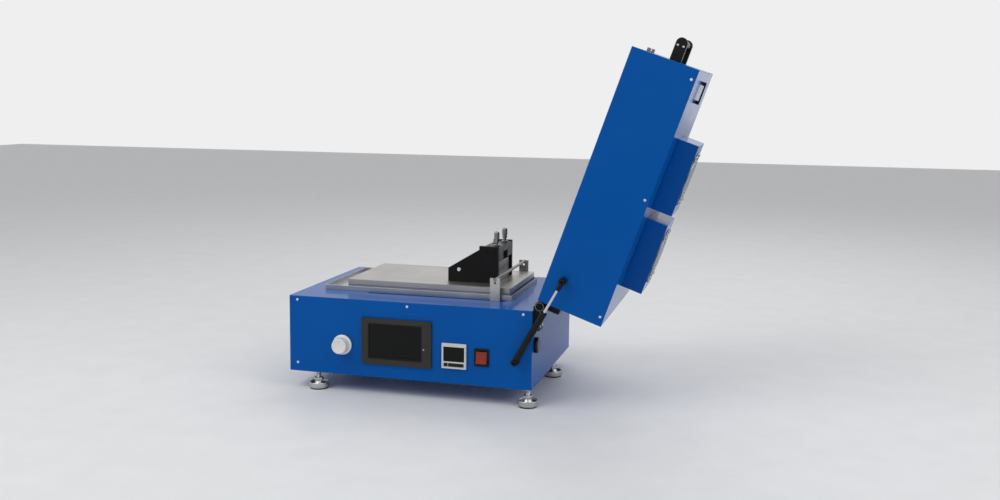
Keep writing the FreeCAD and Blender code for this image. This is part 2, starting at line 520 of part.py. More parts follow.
def make_carriage():
    """The drive under the deck and the posts and rod that push the applicator."""
    guide_z = "(case_tall - guide_drop)"
    bar_z = "(case_tall - carriage_bar_drop)"
    bar_long = "(2 * %s + post_thick)" % SLOT_OUT
    guides = ["%s %s guide_offset" % (BED_MID_Y, side) for side in SLOT_SIDES]
    block_x = "(%s - block_long / 2)" % PUSH_X
    body = block(block_x, BED_MID_Y + " - block_wide / 2", guide_z + " - block_tall / 2", "block_long",
                 "block_wide", "block_tall")
    bar = block(PUSH_X + " - post_wide / 2", "%s - %s / 2" % (BED_MID_Y, bar_long), bar_z, "post_wide",
                bar_long, "carriage_bar_tall")
    bores = [rod(block_x + " - 1", y, guide_z, "guide_radius + bushing_wall + rest_gap", "block_long + 2", "x")
             for y in guides]
    bores.append(rod(block_x + " - 1", BED_MID_Y, guide_z, "screw_radius + bushing_wall + rest_gap",
                     "block_long + 2", "x"))
    node("carriage_block", cut(join(body, bar), *bores))
    bushings = [cut(rod(block_x, y, guide_z, "guide_radius + bushing_wall", "block_long", "x"),
                    rod(block_x + " - 1", y, guide_z, "guide_radius + running_gap / 2", "block_long + 2", "x"))
                for y in guides]
    bushings.append(cut(rod(block_x, BED_MID_Y, guide_z, "screw_radius + bushing_wall", "block_long", "x"),
                        rod(block_x + " - 1", BED_MID_Y, guide_z, "screw_radius + running_gap / 2",
                            "block_long + 2", "x")))
    node("carriage_bushings", *bushings)

    mounts = []
    for x in ("mount_left", MOUNT_RIGHT):
        plate = block(x, BED_MID_Y + " - mount_deep / 2", "sheet + rest_gap", "mount_thick", "mount_deep",
                      "case_tall - guide_drop + mount_over - sheet")
        holes = [rod(x + " - 1", y, guide_z, "guide_radius + 0.02", "mount_thick + 2", "x") for y in guides]
        holes.append(rod(x + " - 1", BED_MID_Y, guide_z, "screw_radius + running_gap / 2",
                         "mount_thick + 2", "x"))
        mounts.append(cut(plate, *holes))
    node("drive_mounts", *mounts)
    rail_long = "(%s + mount_thick - mount_left)" % MOUNT_RIGHT
    node("guide_rods", *[rod("mount_left", y, guide_z, "guide_radius", rail_long, "x") for y in guides])
    node("lead_screw", rod("mount_left - 12", BED_MID_Y, guide_z, "screw_radius", rail_long + " + 14", "x"))
    motor = block("mount_left - motor_long - 0.1", BED_MID_Y + " - motor_wide / 2",
                  guide_z + " - motor_wide / 2", "motor_long", "motor_wide", "motor_wide")
    node("drive_motor", cut(motor, rod("mount_left - 14", BED_MID_Y, guide_z, "screw_radius + running_gap / 2",
                                       "20", "x")))

    posts = []
    for side in SLOT_SIDES:
        y = "(%s %s %s)" % (BED_MID_Y, side, SLOT_OUT)
        low = "(%s + carriage_bar_tall + rest_gap)" % bar_z
        rod_z = "(%s + push_rod_up)" % BED_TOP
        plate = block(PUSH_X + " - post_wide / 2", y + " - post_thick / 2", low, "post_wide", "post_thick",
                      "case_tall + post_rise - " + low)
        notch = block(PUSH_X + " - post_notch / 2", y + " - post_thick",
                      "case_tall + post_rise - post_notch_deep / 2", "post_notch", "2 * post_thick",
                      "post_notch_deep")
        eye = rod(PUSH_X, y + " - post_thick", "case_tall + post_rise - post_hole_drop", "post_hole_radius",
                  "2 * post_thick", "y")
        seat = rod(PUSH_X, y + " - post_thick", rod_z, "push_rod_radius + rest_gap", "2 * post_thick", "y")
        posts.append(cut(plate, join(notch, seat), eye))
    node("push_posts", *posts)
    node("push_rod", rod(PUSH_X, "%s - %s - post_thick / 2" % (BED_MID_Y, SLOT_OUT), BED_TOP + " + push_rod_up",
                         "push_rod_radius", "2 * %s + post_thick + push_rod_over" % SLOT_OUT, "y"))

    floor = "(sheet + rest_gap)"
    supply = block(SUPPLY_X, "supply_y", floor, "supply_wide", "supply_deep", "supply_tall")
    room = block(SUPPLY_X + " + 2", "supply_y + 2", floor + " + 2", "supply_wide - 4", "supply_deep - 4",
                 "supply_tall - 4")
    node("power_supply", cut(supply, room))
    board_z = "(%s + board_rise)" % floor
    pillars = [rod("board_x + " + x, "board_y + " + y, floor, "board_pillar_radius", "board_rise")
               for x in ("board_pillar_in", "board_wide - board_pillar_in")
               for y in ("board_pillar_in", "board_deep - board_pillar_in")]
    chips = [block("board_x + chip_in + %d * chip_pitch" % index, "board_y + chip_in",
                   board_z + " + board_thick - rest_gap", "chip_wide", "chip_deep + %d * chip_grow" % index,
                   "chip_tall - %d * chip_step" % index) for index in range(3)]
    node("control_board", join(block("board_x", "board_y", board_z + " - rest_gap", "board_wide", "board_deep",
                                     "board_thick"), *pillars, *chips))


APP_RIGHT = "(%s - push_rod_radius - app_push_gap)" % PUSH_X
APP_LEFT = "(%s - app_long)" % APP_RIGHT
APP_FRONT = "(%s - app_wide / 2)" % BED_MID_Y
APP_LOW = "(case_tall + bed_rise + app_lift)"
GAUGE_X = "(%s - gauge_back)" % APP_RIGHT
GAUGES_Y = {"front": "(%s - gauge_space / 2)" % BED_MID_Y, "rear": "(%s + gauge_space / 2)" % BED_MID_Y}


def make_applicator():
    """Two black cheeks, a cross beam, a blade between them and its two screw gauges."""
    cheeks = []
    for y in ("(%s + app_plate)" % APP_FRONT, "(%s + app_wide)" % APP_FRONT):
        cheek = padded("XZ_Plane", (
            ("0", "0"), ("app_long", "0"), ("app_long", "app_top"), ("app_knee_back_x", "app_top"),
            ("app_knee_back_x", "app_knee_up"), ("0", "app_low")),
            "app_plate", x=APP_LEFT, y=y, z=APP_LOW)
        cheeks.append(cut(cheek, rod(APP_LEFT + " + tie_x", y + " - app_plate - 1", APP_LOW + " + tie_z",
                                     "tie_radius + rest_gap", "app_plate + 2", "y")))
    node("applicator_plates", *cheeks)

    inner_y = "(%s + app_plate)" % APP_FRONT
    inner = "(app_wide - 2 * app_plate)"
    beam_z = "(%s + app_top - beam_drop - beam_tall)" % APP_LOW
    gauge_seats = [rod(GAUGE_X, y, beam_z + " - 1", "sleeve_radius - 0.4", "beam_tall + 2")
                   for y in GAUGES_Y.values()]
    notch = block(APP_RIGHT + " - beam_long - 1", BED_MID_Y + " - beam_notch_wide / 2", beam_z + " - 1",
                  "beam_long + 2", "beam_notch_wide", "beam_notch_tall + 1")
    node("applicator_beam", cut(block(APP_RIGHT + " - beam_long", inner_y + " + 0.1", beam_z, "beam_long",
                                      inner + " - 0.2", "beam_tall"), notch, *gauge_seats))
    tie_x = APP_LEFT + " + tie_x"
    tie_z = APP_LOW + " + tie_z"
    tie = join(rod(tie_x, APP_FRONT, tie_z, "tie_radius", "app_wide", "y"),
               rod(tie_x, APP_FRONT + " - tie_head_tall", tie_z, "tie_head_radius", "tie_head_tall", "y"),
               rod(tie_x, APP_FRONT + " + app_wide", tie_z, "tie_head_radius", "tie_head_tall", "y"))
    node("applicator_tie_rod", tie)

    blade_x = "(%s - blade_set_in - blade_thick)" % APP_RIGHT
    blade = block(blade_x, inner_y + " + blade_side_gap", APP_LOW + " + blade_up", "blade_thick",
                  inner + " - 2 * blade_side_gap", "blade_tall")
    bevel = padded("XZ_Plane", (("-1", "-1"), ("blade_bevel", "-1"), ("-1", "blade_bevel")),
                   inner + " + 4", x=blade_x, y=inner_y + " + 2 + " + inner, z=APP_LOW + " + blade_up")
    spindles = [rod(GAUGE_X, y, "%s + blade_up + blade_tall - 2" % APP_LOW, "spindle_radius",
                    "app_top - beam_drop - blade_up - blade_tall + 2 + sleeve_foot_tall")
                for y in GAUGES_Y.values()]
    node("applicator_blade", join(cut(blade, bevel), *spindles))

    sleeves = []
    for name, y in GAUGES_Y.items():
        beam_top = "(%s + beam_tall)" % beam_z
        sleeve = join(rod(GAUGE_X, y, beam_top + " + rest_gap", "sleeve_foot", "sleeve_foot_tall"),
                      rod(GAUGE_X, y, beam_top + " + 0.1", "sleeve_radius", "sleeve_tall"))
        bore = rod(GAUGE_X, y, beam_top + " - 1", "spindle_radius + 0.1", "sleeve_tall + 3")
        sleeves.append(cut(sleeve, bore))
        thimble = turned((("gauge_bore", "0"), ("gauge_radius", "0"), ("gauge_radius", "gauge_tall - 1.5"),
                          ("gauge_radius - 1.5", "gauge_tall"), ("0", "gauge_tall"),
                          ("0", "gauge_tall - 3"), ("gauge_bore", "gauge_tall - 3")),
                         x=GAUGE_X, y=y, z=beam_top + " + gauge_up")
        node("thimble_" + name, thimble)
    node("micrometer_sleeves", *sleeves)


LID_LOW = "(case_tall + lid_gap)"
LID_TOP = "(case_tall + lid_gap + lid_deep)"


def make_lid():
    """The deep lid, drawn closed: walls, top, heaters, handle, pull and catch."""
    inner = "(case_wide - 2 * sheet)"
    walls = cut(block("0", "0", LID_LOW, "case_wide", "case_deep", "lid_deep"),
                block("sheet", "sheet", LID_LOW + " - 1", inner, "case_deep - 2 * sheet", "lid_deep + 2"))
    screws_at = ("lid_screw_far", "case_wide / 2", "case_wide - panel_screw_inset")
    screw_z = LID_TOP + " - panel_screw_drop"
    holes = [rod(x, y, screw_z, "screw_shank_radius + seam", "sheet + 2", "y")
             for x in screws_at for y in ("-1", "case_deep - sheet - 1")]
    node("lid_frame", cut(walls, *holes), frame="lid")
    top = block("sheet + seam", "sheet + seam", LID_TOP + " - sheet", inner + " - 2 * seam",
                "case_deep - 2 * sheet - 2 * seam", "sheet")
    skirts = [block("sheet + seam", y, LID_TOP + " - flange_tall", inner + " - 2 * seam", "sheet",
                    "flange_tall") for y in ("sheet + seam", "case_deep - 2 * sheet - seam")]
    holes = [rod("case_wide - %s - fan_box_wide / 2" % start, "case_deep / 2", LID_TOP + " - sheet - 1",
                 "guard_radius", "sheet + 2") for start in ("fan_low_from", "fan_high_from")]
    holes += [screw_hole(x, y, screw_z) for x in screws_at for y in ("0", "case_deep")]
    node("lid_top", cut(join(top, *skirts), *holes), frame="lid")
    screws = [screw(x, "0", screw_z) for x in screws_at]
    screws += [screw(x, "case_deep", screw_z, "+y") for x in screws_at]
    node("lid_screws", *screws, frame="lid")

    heaters = []
    for y in ("heater_y", "case_deep - heater_y"):
        z = LID_TOP + " - heater_drop"
        bar = rod("heater_in", y, z, "heater_radius", "case_wide - 2 * heater_in", "x")
        clips = [block(x, "%s - heater_radius - 2" % y, z + " - heater_radius - 2", "8",
                       "2 * heater_radius + 4", "heater_drop - sheet + heater_radius + 2 - rest_gap")
                 for x in ("heater_in + 30", "case_wide - heater_in - 38")]
        heaters.append(join(bar, *clips))
    node("lid_heaters", *heaters, frame="lid")

    low = LID_LOW + " + handle_low"
    cheeks = []
    for y in ("handle_mid_y - handle_span / 2", "handle_mid_y + handle_span / 2 - cheek_thick"):
        cheeks.append(block("-handle_out + handle_wide / 2", y, low, "handle_out - handle_wide / 2 - rest_gap",
                            "cheek_thick", "handle_wide"))
        cheeks.append(rod("-handle_out + handle_wide / 2", y, low + " + handle_wide / 2", "handle_wide / 2",
                          "cheek_thick", "y"))
    grip = rod("-handle_out + handle_wide / 2", "handle_mid_y - handle_span / 2 + 1",
               low + " + handle_wide / 2", "grip_radius", "handle_span - 2", "y")
    node("lid_handle", join(*cheeks, grip), frame="lid")

    pull_x = "pull_in"
    pull_y = "(case_deep / 2 - pull_wide / 2)"
    feet = [block(x, pull_y, LID_TOP + " + rest_gap", "pull_wide", "pull_wide", "pull_tall")
            for x in (pull_x, pull_x + " + pull_long - pull_wide")]
    bar = block(pull_x, pull_y, LID_TOP + " + pull_tall - pull_bar + rest_gap", "pull_long", "pull_wide",
                "pull_bar")
    node("lid_pull", join(bar, *feet), frame="lid")
    keeper = block("-keeper_out", "case_deep / 2 - keeper_wide / 2", LID_LOW + " + keeper_low",
                   "keeper_out - rest_gap", "keeper_wide", "keeper_tall")
    slot = block("-keeper_out - 1", "case_deep / 2 - keeper_wide", LID_LOW + " + keeper_low + keeper_slot_up",
                 "keeper_out - 1", "2 * keeper_wide", "keeper_slot")
    node("lid_keeper", cut(keeper, slot), frame="lid")


def make_fans():
    """Two boxed fans on the lid, each with its own wire guard."""
    boxes = []
    frames = []
    guards = []
    mid_y = "(case_deep / 2)"
    for name, start in (("low", "fan_low_from"), ("high", "fan_high_from")):
        mid_x = "(case_wide - %s - fan_box_wide / 2)" % start
        left = mid_x + " - fan_box_wide / 2"
        front = mid_y + " - fan_box_deep / 2"
        base = LID_TOP + " + rest_gap"
        shell = cut(block(left, front, base, "fan_box_wide", "fan_box_deep", "fan_box_tall"),
                    block(left + " + fan_box_sheet", front + " + fan_box_sheet", base + " - 1",
                          "fan_box_wide - 2 * fan_box_sheet", "fan_box_deep - 2 * fan_box_sheet",
                          "fan_box_tall + 1 - fan_box_sheet"),
                    rod(mid_x, mid_y, base, "guard_radius", "fan_box_tall + 2"))
        boxes.append(shell)
        fan_z = "(%s + fan_box_tall - fan_box_sheet - fan_deep - rest_gap)" % base
        body = cut(block(mid_x + " - fan_wide / 2", mid_y + " - fan_wide / 2", fan_z, "fan_wide", "fan_wide",
                         "fan_deep"), rod(mid_x, mid_y, fan_z + " - 1", "fan_bore", "fan_deep + 2"))
        spider = [block(mid_x + " - fan_wide / 2 + 2", mid_y + " - 2.5", fan_z, "fan_wide - 4", "5", "2.5"),
                  block(mid_x + " - 2.5", mid_y + " - fan_wide / 2 + 2", fan_z, "5", "fan_wide - 4", "2.5"),
                  rod(mid_x, mid_y, fan_z, "fan_hub", "2.5"),
                  rod(mid_x, mid_y, fan_z, "3", "10")]
        frames.append(join(body, *spider))
        hub = cut(rod(mid_x, mid_y, fan_z + " + 3", "fan_hub", "fan_deep - 4"),
                  rod(mid_x, mid_y, fan_z + " + 2", "3 + running_gap / 2", "9"))
        blades = []
        for index in range(SIZES["fan_blades"]):
            angle = index * 360.0 / SIZES["fan_blades"]
            blade = DOC.addObject("Part::Box", "blade")
            turn = FreeCAD.Rotation(FreeCAD.Vector(0, 0, 1), angle)
            blade.Placement.Rotation = turn.multiply(FreeCAD.Rotation(FreeCAD.Vector(1, 0, 0), 35))
            bind(blade, x=mid_x + " + (fan_hub - 2) * cos(%f)" % angle,
                 y=mid_y + " + (fan_hub - 2) * sin(%f)" % angle, z=fan_z + " + 6",
                 Length="fan_bore - fan_blade_gap - fan_hub", Width="fan_deep - 4",
                 Height="fan_blade_thick")
            blades.append(blade)
        node("fan_rotor_" + name, join(hub, *blades), frame="lid")
        guard_z = "(%s + fan_box_tall + guard_wire + 0.1)" % base
        wires = [rod(mid_x, mid_y, guard_z + " - guard_wire", "guard_centre", "2 * guard_wire")]
        for index in range(SIZES["guard_rings"]):
            share = "%d / %d" % (index + 1, SIZES["guard_rings"])
            radius = "(guard_centre + (guard_radius - guard_centre) * %s)" % share
            wires.append(cut(rod(mid_x, mid_y, guard_z + " - guard_wire", radius, "2 * guard_wire"),
                             rod(mid_x, mid_y, guard_z + " - 2 * guard_wire", radius + " - 2 * guard_wire",
                                 "4 * guard_wire")))
        for angle in (45, 135, 225, 315):
            along = "%f" % math.cos(math.radians(angle))
            across = "%f" % math.sin(math.radians(angle))
            arm = DOC.addObject("Part::Box", "arm")
            arm.Placement.Rotation = FreeCAD.Rotation(FreeCAD.Vector(0, 0, 1), angle)
            bind(arm, x="%s + guard_wire * %s" % (mid_x, across), y="%s - guard_wire * %s" % (mid_y, along),
                 z=guard_z + " - guard_wire", Length="guard_radius + guard_arm_over", Width="2 * guard_wire",
                 Height="2 * guard_wire")
            wires.append(arm)
            wires.append(rod("%s + (guard_radius + guard_arm_over) * %s" % (mid_x, along),
                             "%s + (guard_radius + guard_arm_over) * %s" % (mid_y, across),
                             guard_z + " - guard_wire", "guard_eye_radius", "2 * guard_wire"))
        guards.append(join(*wires))
    node("fan_housings", *boxes, frame="lid")
    node("fan_frames", *frames, frame="lid")
    node("finger_guards", *guards, frame="lid")


def make_hinges():
    """Two chunky hinges: a leaf on the casing, a leaf on the lid and the pin between them."""
    pivot_x = "(case_wide + hinge_out)"
    pivot_z = "(case_tall + hinge_up)"
    base_leaves = []
    lid_leaves = []
    pins = []
    for front in ("leaf_inset", "(case_deep - leaf_inset - leaf_wide)"):
        bore = rod(pivot_x, front + " - 1", pivot_z, "hinge_pin_radius + hinge_pin_gap", "leaf_wide + 2", "y")
        leaf = block("case_wide + rest_gap", front, pivot_z + " - base_leaf_down", "leaf_thick", "leaf_wide",
                     "base_leaf_down")
        barrel = rod(pivot_x, front, pivot_z, "barrel_radius", "leaf_wide", "y")
        middle = block("case_wide - 1", front + " + knuckle", pivot_z + " - barrel_radius - 1.5",
                       "2 * barrel_radius + hinge_out", "leaf_wide - 2 * knuckle", "3 * barrel_radius")
        base_leaves.append(cut(join(leaf, barrel), bore, middle))
        leaf = block("case_wide + rest_gap", front, pivot_z + " + barrel_radius + 0.7", "leaf_thick",
                     "leaf_wide", "lid_leaf_up - barrel_radius")
        tongue = join(block("case_wide + rest_gap", front + " + knuckle + knuckle_gap", pivot_z, "leaf_thick",
                            "leaf_wide - 2 * knuckle - 2 * knuckle_gap", "barrel_radius + 2"),
                      rod(pivot_x, front + " + knuckle + knuckle_gap", pivot_z, "barrel_radius",
                          "leaf_wide - 2 * knuckle - 2 * knuckle_gap", "y"))
        inner = rod(pivot_x, front + " - 1", pivot_z, "hinge_pin_radius + hinge_pin_gap", "leaf_wide + 2", "y")
        lid_leaves.append(cut(join(leaf, tongue), inner))
        pins.append(rod(pivot_x, front + " + 0.5", pivot_z, "hinge_pin_radius", "leaf_wide - 1", "y"))
    node("hinge_base_leaves", *base_leaves)
    node("hinge_lid_leaves", *lid_leaves, frame="lid")
    node("hinge_pins", *pins)


def make_struts():
    """A gas strut outside each cheek of the machine, between two headed studs."""
    faces = {"front": ("-", "0"), "rear": ("+", "case_deep")}
    base_studs = []
    lid_studs = []
    for name, (side, face) in faces.items():
        mid = "(%s %s strut_off)" % (face, side)
        far = "(%s %s (strut_off + stud_eye / 2 + stud_head + 0.3))" % (face, side)
        eye_y = mid + " - stud_eye / 2"
        for studs, x, z in ((base_studs, LOW_X, LOW_Z),
                            (lid_studs, "(case_wide + hinge_out - strut_high_in)",
                             "(case_tall + hinge_up + strut_high_up)")):
            shank_y = far if side == "-" else "case_deep + rest_gap"
            shank = rod(x, shank_y, z, "stud_radius", "strut_off + stud_eye / 2 + stud_head + 0.25", "y")
            head_y = far if side == "-" else far + " - stud_head"
            head = rod(x, head_y, z, "stud_head_radius", "stud_head", "y")
            seat_y = face + " - 3.05" if side == "-" else face + " + rest_gap"
            seat = rod(x, seat_y, z, "stud_seat", "3", "y")
            studs.append(join(shank, head, seat))
        tube = join(rod("0", mid, "eye_radius - 1", "tube_radius", "tube_long - eye_radius + 1"),
                    rod("0", eye_y, "0", "eye_radius", "stud_eye", "y"))
        hollow = rod("0", mid, "eye_radius + 3", "tube_bore", "tube_long")
        eye = rod("0", eye_y + " - 4", "0", "stud_radius + stud_gap", "stud_eye + 8", "y")
        node("strut_tube_" + name, cut(tube, hollow, eye), frame="strut")
        reach = "hypot(%s - %s; %s - %s)" % (HIGH_X, LOW_X, HIGH_Z, LOW_Z)
        shaft = join(rod("0", mid, reach + " - strut_rod_long", "strut_rod_radius", "strut_rod_long - 4"),
                     cone("0", mid, reach + " - rod_end_long", "strut_rod_radius + 1", "rod_end_radius",
                          "rod_end_taper"),
                     rod("0", mid, reach + " - rod_end_long + rod_end_taper", "rod_end_radius",
                         "rod_end_long - 2 * rod_end_taper"),
                     rod("0", eye_y, reach, "eye_radius", "stud_eye", "y"))
        eye = rod("0", eye_y + " - 4", reach, "stud_radius + stud_gap", "stud_eye + 8", "y")
        node("strut_rod_" + name, cut(shaft, eye), frame="strut")
    node("strut_studs_base", *base_studs)
    node("strut_studs_lid", *lid_studs, frame="lid")


def main():
    """Build every sub-part, set the origin under the middle and write the shapes."""
    fill_sheet()
    for make in (make_casing, make_panel_items, make_feet, make_bed, make_carriage, make_applicator,
                 make_lid, make_fans, make_hinges, make_struts):
        make()
    DOC.recompute()
    whole = FreeCAD.BoundBox()
    for made in NODES:
        whole.add(made.Shape.BoundBox)
    shifts = {"shift_x": -whole.Center.x, "shift_y": -whole.Center.y, "shift_z": -whole.ZMin}
    for name, value in shifts.items():
        SHEET.set(name, "%.6f" % value)
    DOC.recompute()
    faulty = [thing.Name for thing in DOC.Objects if {"Invalid", "Error"} & set(thing.State)]
    faulty += [made.Label for made in NODES if made.Shape.isNull() or not made.Shape.isValid()]
    if faulty:
        raise RuntimeError("not built: " + ", ".join(faulty))
    os.makedirs("parts", exist_ok=True)
    for made in NODES:
        made.Shape.exportStep(os.path.join("parts", made.Label + ".step"))
    print(len(NODES), "sub-parts, size", whole, "shift", shifts)


main()
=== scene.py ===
"""Film coating machine in a plain studio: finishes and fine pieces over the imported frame."""
import json
import logging
import math
from dataclasses import dataclass, field
from enum import Enum

import bpy
from mathutils import Matrix, Vector


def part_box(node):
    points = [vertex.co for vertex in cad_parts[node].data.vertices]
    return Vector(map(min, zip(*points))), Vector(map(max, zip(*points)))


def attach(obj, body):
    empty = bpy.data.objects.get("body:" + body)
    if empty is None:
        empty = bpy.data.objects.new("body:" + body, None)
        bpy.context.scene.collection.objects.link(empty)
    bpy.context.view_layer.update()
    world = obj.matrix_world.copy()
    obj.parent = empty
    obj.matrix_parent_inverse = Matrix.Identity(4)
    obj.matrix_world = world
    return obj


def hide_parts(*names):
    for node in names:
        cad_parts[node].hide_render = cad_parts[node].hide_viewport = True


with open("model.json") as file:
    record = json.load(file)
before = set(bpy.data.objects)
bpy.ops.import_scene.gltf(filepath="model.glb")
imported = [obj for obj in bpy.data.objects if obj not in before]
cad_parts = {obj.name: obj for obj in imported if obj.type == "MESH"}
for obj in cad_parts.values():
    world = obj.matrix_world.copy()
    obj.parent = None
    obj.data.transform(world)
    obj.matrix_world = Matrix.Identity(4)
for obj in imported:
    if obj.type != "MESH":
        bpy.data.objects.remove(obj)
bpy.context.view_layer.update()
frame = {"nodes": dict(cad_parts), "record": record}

LOG = logging.getLogger("coating_machine")
MM = 0.001


def colour(code: str) -> tuple[float, float, float, float]:
    """Turn a six digit colour code into linear light.

    Args:
        code: red, green and blue as hexadecimal pairs.

    Returns:
        Linear red, green, blue and a full alpha.
    """
    shares = [int(code[start:start + 2], 16) / 255 for start in (0, 2, 4)]
    linear = [share / 12.92 if share <= 0.04045 else ((share + 0.055) / 1.055) ** 2.4
              for share in shares]
    return (*linear, 1.0)


class Groups:
    """Node groups that several finishes share, each built once."""

    @staticmethod
    def _start(name: str, vectors: tuple[str, ...], floats: tuple[str, ...],
               result: str) -> bpy.types.NodeTree:
        """Make a group with named inputs and one output.

        Args:
            name: the group's name.
            vectors: its vector inputs.
            floats: its number inputs, which follow them.
            result: its output, a number.

        Returns:
            The group, with no nodes yet.
        """
        tree = bpy.data.node_groups.new(name, "ShaderNodeTree")
        for labels, kind in ((vectors, "NodeSocketVector"), (floats, "NodeSocketFloat")):
            for label in labels:
                tree.interface.new_socket(label, in_out="INPUT", socket_type=kind)
        tree.interface.new_socket(result, in_out="OUTPUT", socket_type="NodeSocketFloat")
        return tree

    @staticmethod
    def mottle() -> bpy.types.NodeTree:
        """Noise spread between two values, for uneven gloss and tone.

        Returns:
            The group, made on its first use.
        """
        name = "mottle"
        if name in bpy.data.node_groups:
            return bpy.data.node_groups[name]
        tree = Groups._start(name, ("Vector",), ("Scale", "Detail", "Low", "High"), "Value")
        entry = tree.nodes.new("NodeGroupInput")
        leave = tree.nodes.new("NodeGroupOutput")
        noise = tree.nodes.new("ShaderNodeTexNoise")
        spread = tree.nodes.new("ShaderNodeMapRange")
        spread.inputs["From Min"].default_value = 0.3
        spread.inputs["From Max"].default_value = 0.7
        link = tree.links.new
        link(entry.outputs["Vector"], noise.inputs["Vector"])
        link(entry.outputs["Scale"], noise.inputs["Scale"])
        link(entry.outputs["Detail"], noise.inputs["Detail"])
        link(noise.outputs["Fac"], spread.inputs["Value"])
        link(entry.outputs["Low"], spread.inputs["To Min"])
        link(entry.outputs["High"], spread.inputs["To Max"])
        link(spread.outputs["Result"], leave.inputs["Value"])
        return tree

    @staticmethod
    def grain() -> bpy.types.NodeTree:
        """Fine relief, even or drawn out along a direction, as a height.

        Returns:
            The group, made on its first use.
        """
        name = "grain"
        if name in bpy.data.node_groups:
            return bpy.data.node_groups[name]
        tree = Groups._start(name, ("Vector", "Stretch"), ("Scale",), "Height")
        entry = tree.nodes.new("NodeGroupInput")
        leave = tree.nodes.new("NodeGroupOutput")
        drawn = tree.nodes.new("ShaderNodeVectorMath")
        drawn.operation = "MULTIPLY"
        noise = tree.nodes.new("ShaderNodeTexNoise")
        noise.inputs["Detail"].default_value = 4.0
        link = tree.links.new
        link(entry.outputs["Vector"], drawn.inputs[0])
        link(entry.outputs["Stretch"], drawn.inputs[1])
        link(drawn.outputs["Vector"], noise.inputs["Vector"])
        link(entry.outputs["Scale"], noise.inputs["Scale"])
        link(noise.outputs["Fac"], leave.inputs["Height"])
        return tree


@dataclass(frozen=True)
class Finish:
    """A surface: its colours, gloss, grain and clear coat."""

    name: str
    base: str
    second: str
    metallic: float = 0.0
    rough: tuple[float, float] = (0.4, 0.5)
    tone_scale: float = 14.0
    gloss_scale: float = 60.0
    grain_scale: float = 900.0
    grain_depth: float = 0.06
    stretch: tuple[float, float, float] = (1.0, 1.0, 1.0)
    coat: float = 0.0
    coat_rough: float = 0.1
    specular: float = 0.5

    def material(self) -> bpy.types.Material:
        """Build the node material, or give back the one built before.

        Returns:
            The material.
        """
        if self.name in bpy.data.materials:
            return bpy.data.materials[self.name]
        made = bpy.data.materials.new(self.name)
        made.use_nodes = True
        tree = made.node_tree
        shader = tree.nodes["Principled BSDF"]
        link = tree.links.new
        place = tree.nodes.new("ShaderNodeTexCoord").outputs["Object"]

        tone = self._mottle(tree, place, self.tone_scale, 3.0, 0.0, 1.0)
        mix = tree.nodes.new("ShaderNodeMix")
        mix.data_type = "RGBA"
        mix.inputs["A"].default_value = colour(self.base)
        mix.inputs["B"].default_value = colour(self.second)
        link(tone, mix.inputs["Factor"])
        link(mix.outputs["Result"], shader.inputs["Base Color"])
        link(self._mottle(tree, place, self.gloss_scale, 5.0, *self.rough), shader.inputs["Roughness"])

        relief = tree.nodes.new("ShaderNodeGroup")
        relief.node_tree = Groups.grain()
        link(place, relief.inputs["Vector"])
        relief.inputs["Stretch"].default_value = self.stretch
        relief.inputs["Scale"].default_value = self.grain_scale
        bump = tree.nodes.new("ShaderNodeBump")
        bump.inputs["Strength"].default_value = self.grain_depth
        bump.inputs["Distance"].default_value = 0.2 * MM
        link(relief.outputs["Height"], bump.inputs["Height"])
        link(bump.outputs["Normal"], shader.inputs["Normal"])

        shader.inputs["Metallic"].default_value = self.metallic
        shader.inputs["Coat Weight"].default_value = self.coat
        shader.inputs["Coat Roughness"].default_value = self.coat_rough
        shader.inputs["Specular IOR Level"].default_value = self.specular
        return made

    @staticmethod
    def _mottle(tree: bpy.types.NodeTree, place: bpy.types.NodeSocket, scale: float, detail: float,
                low: float, high: float) -> bpy.types.NodeSocket:
        """Place the mottle group with its own values.

        Args:
            tree: the material's nodes.
            place: the coordinates to read.
            scale: how fine the noise is.
            detail: how many finer layers it has.
            low: the value at the noise's dark end.
            high: the value at its light end.

        Returns:
            The group's value socket.
        """
        made = tree.nodes.new("ShaderNodeGroup")
        made.node_tree = Groups.mottle()
        tree.links.new(place, made.inputs["Vector"])
        for label, value in (("Scale", scale), ("Detail", detail), ("Low", low), ("High", high)):
            made.inputs[label].default_value = value
        return made.outputs["Value"]


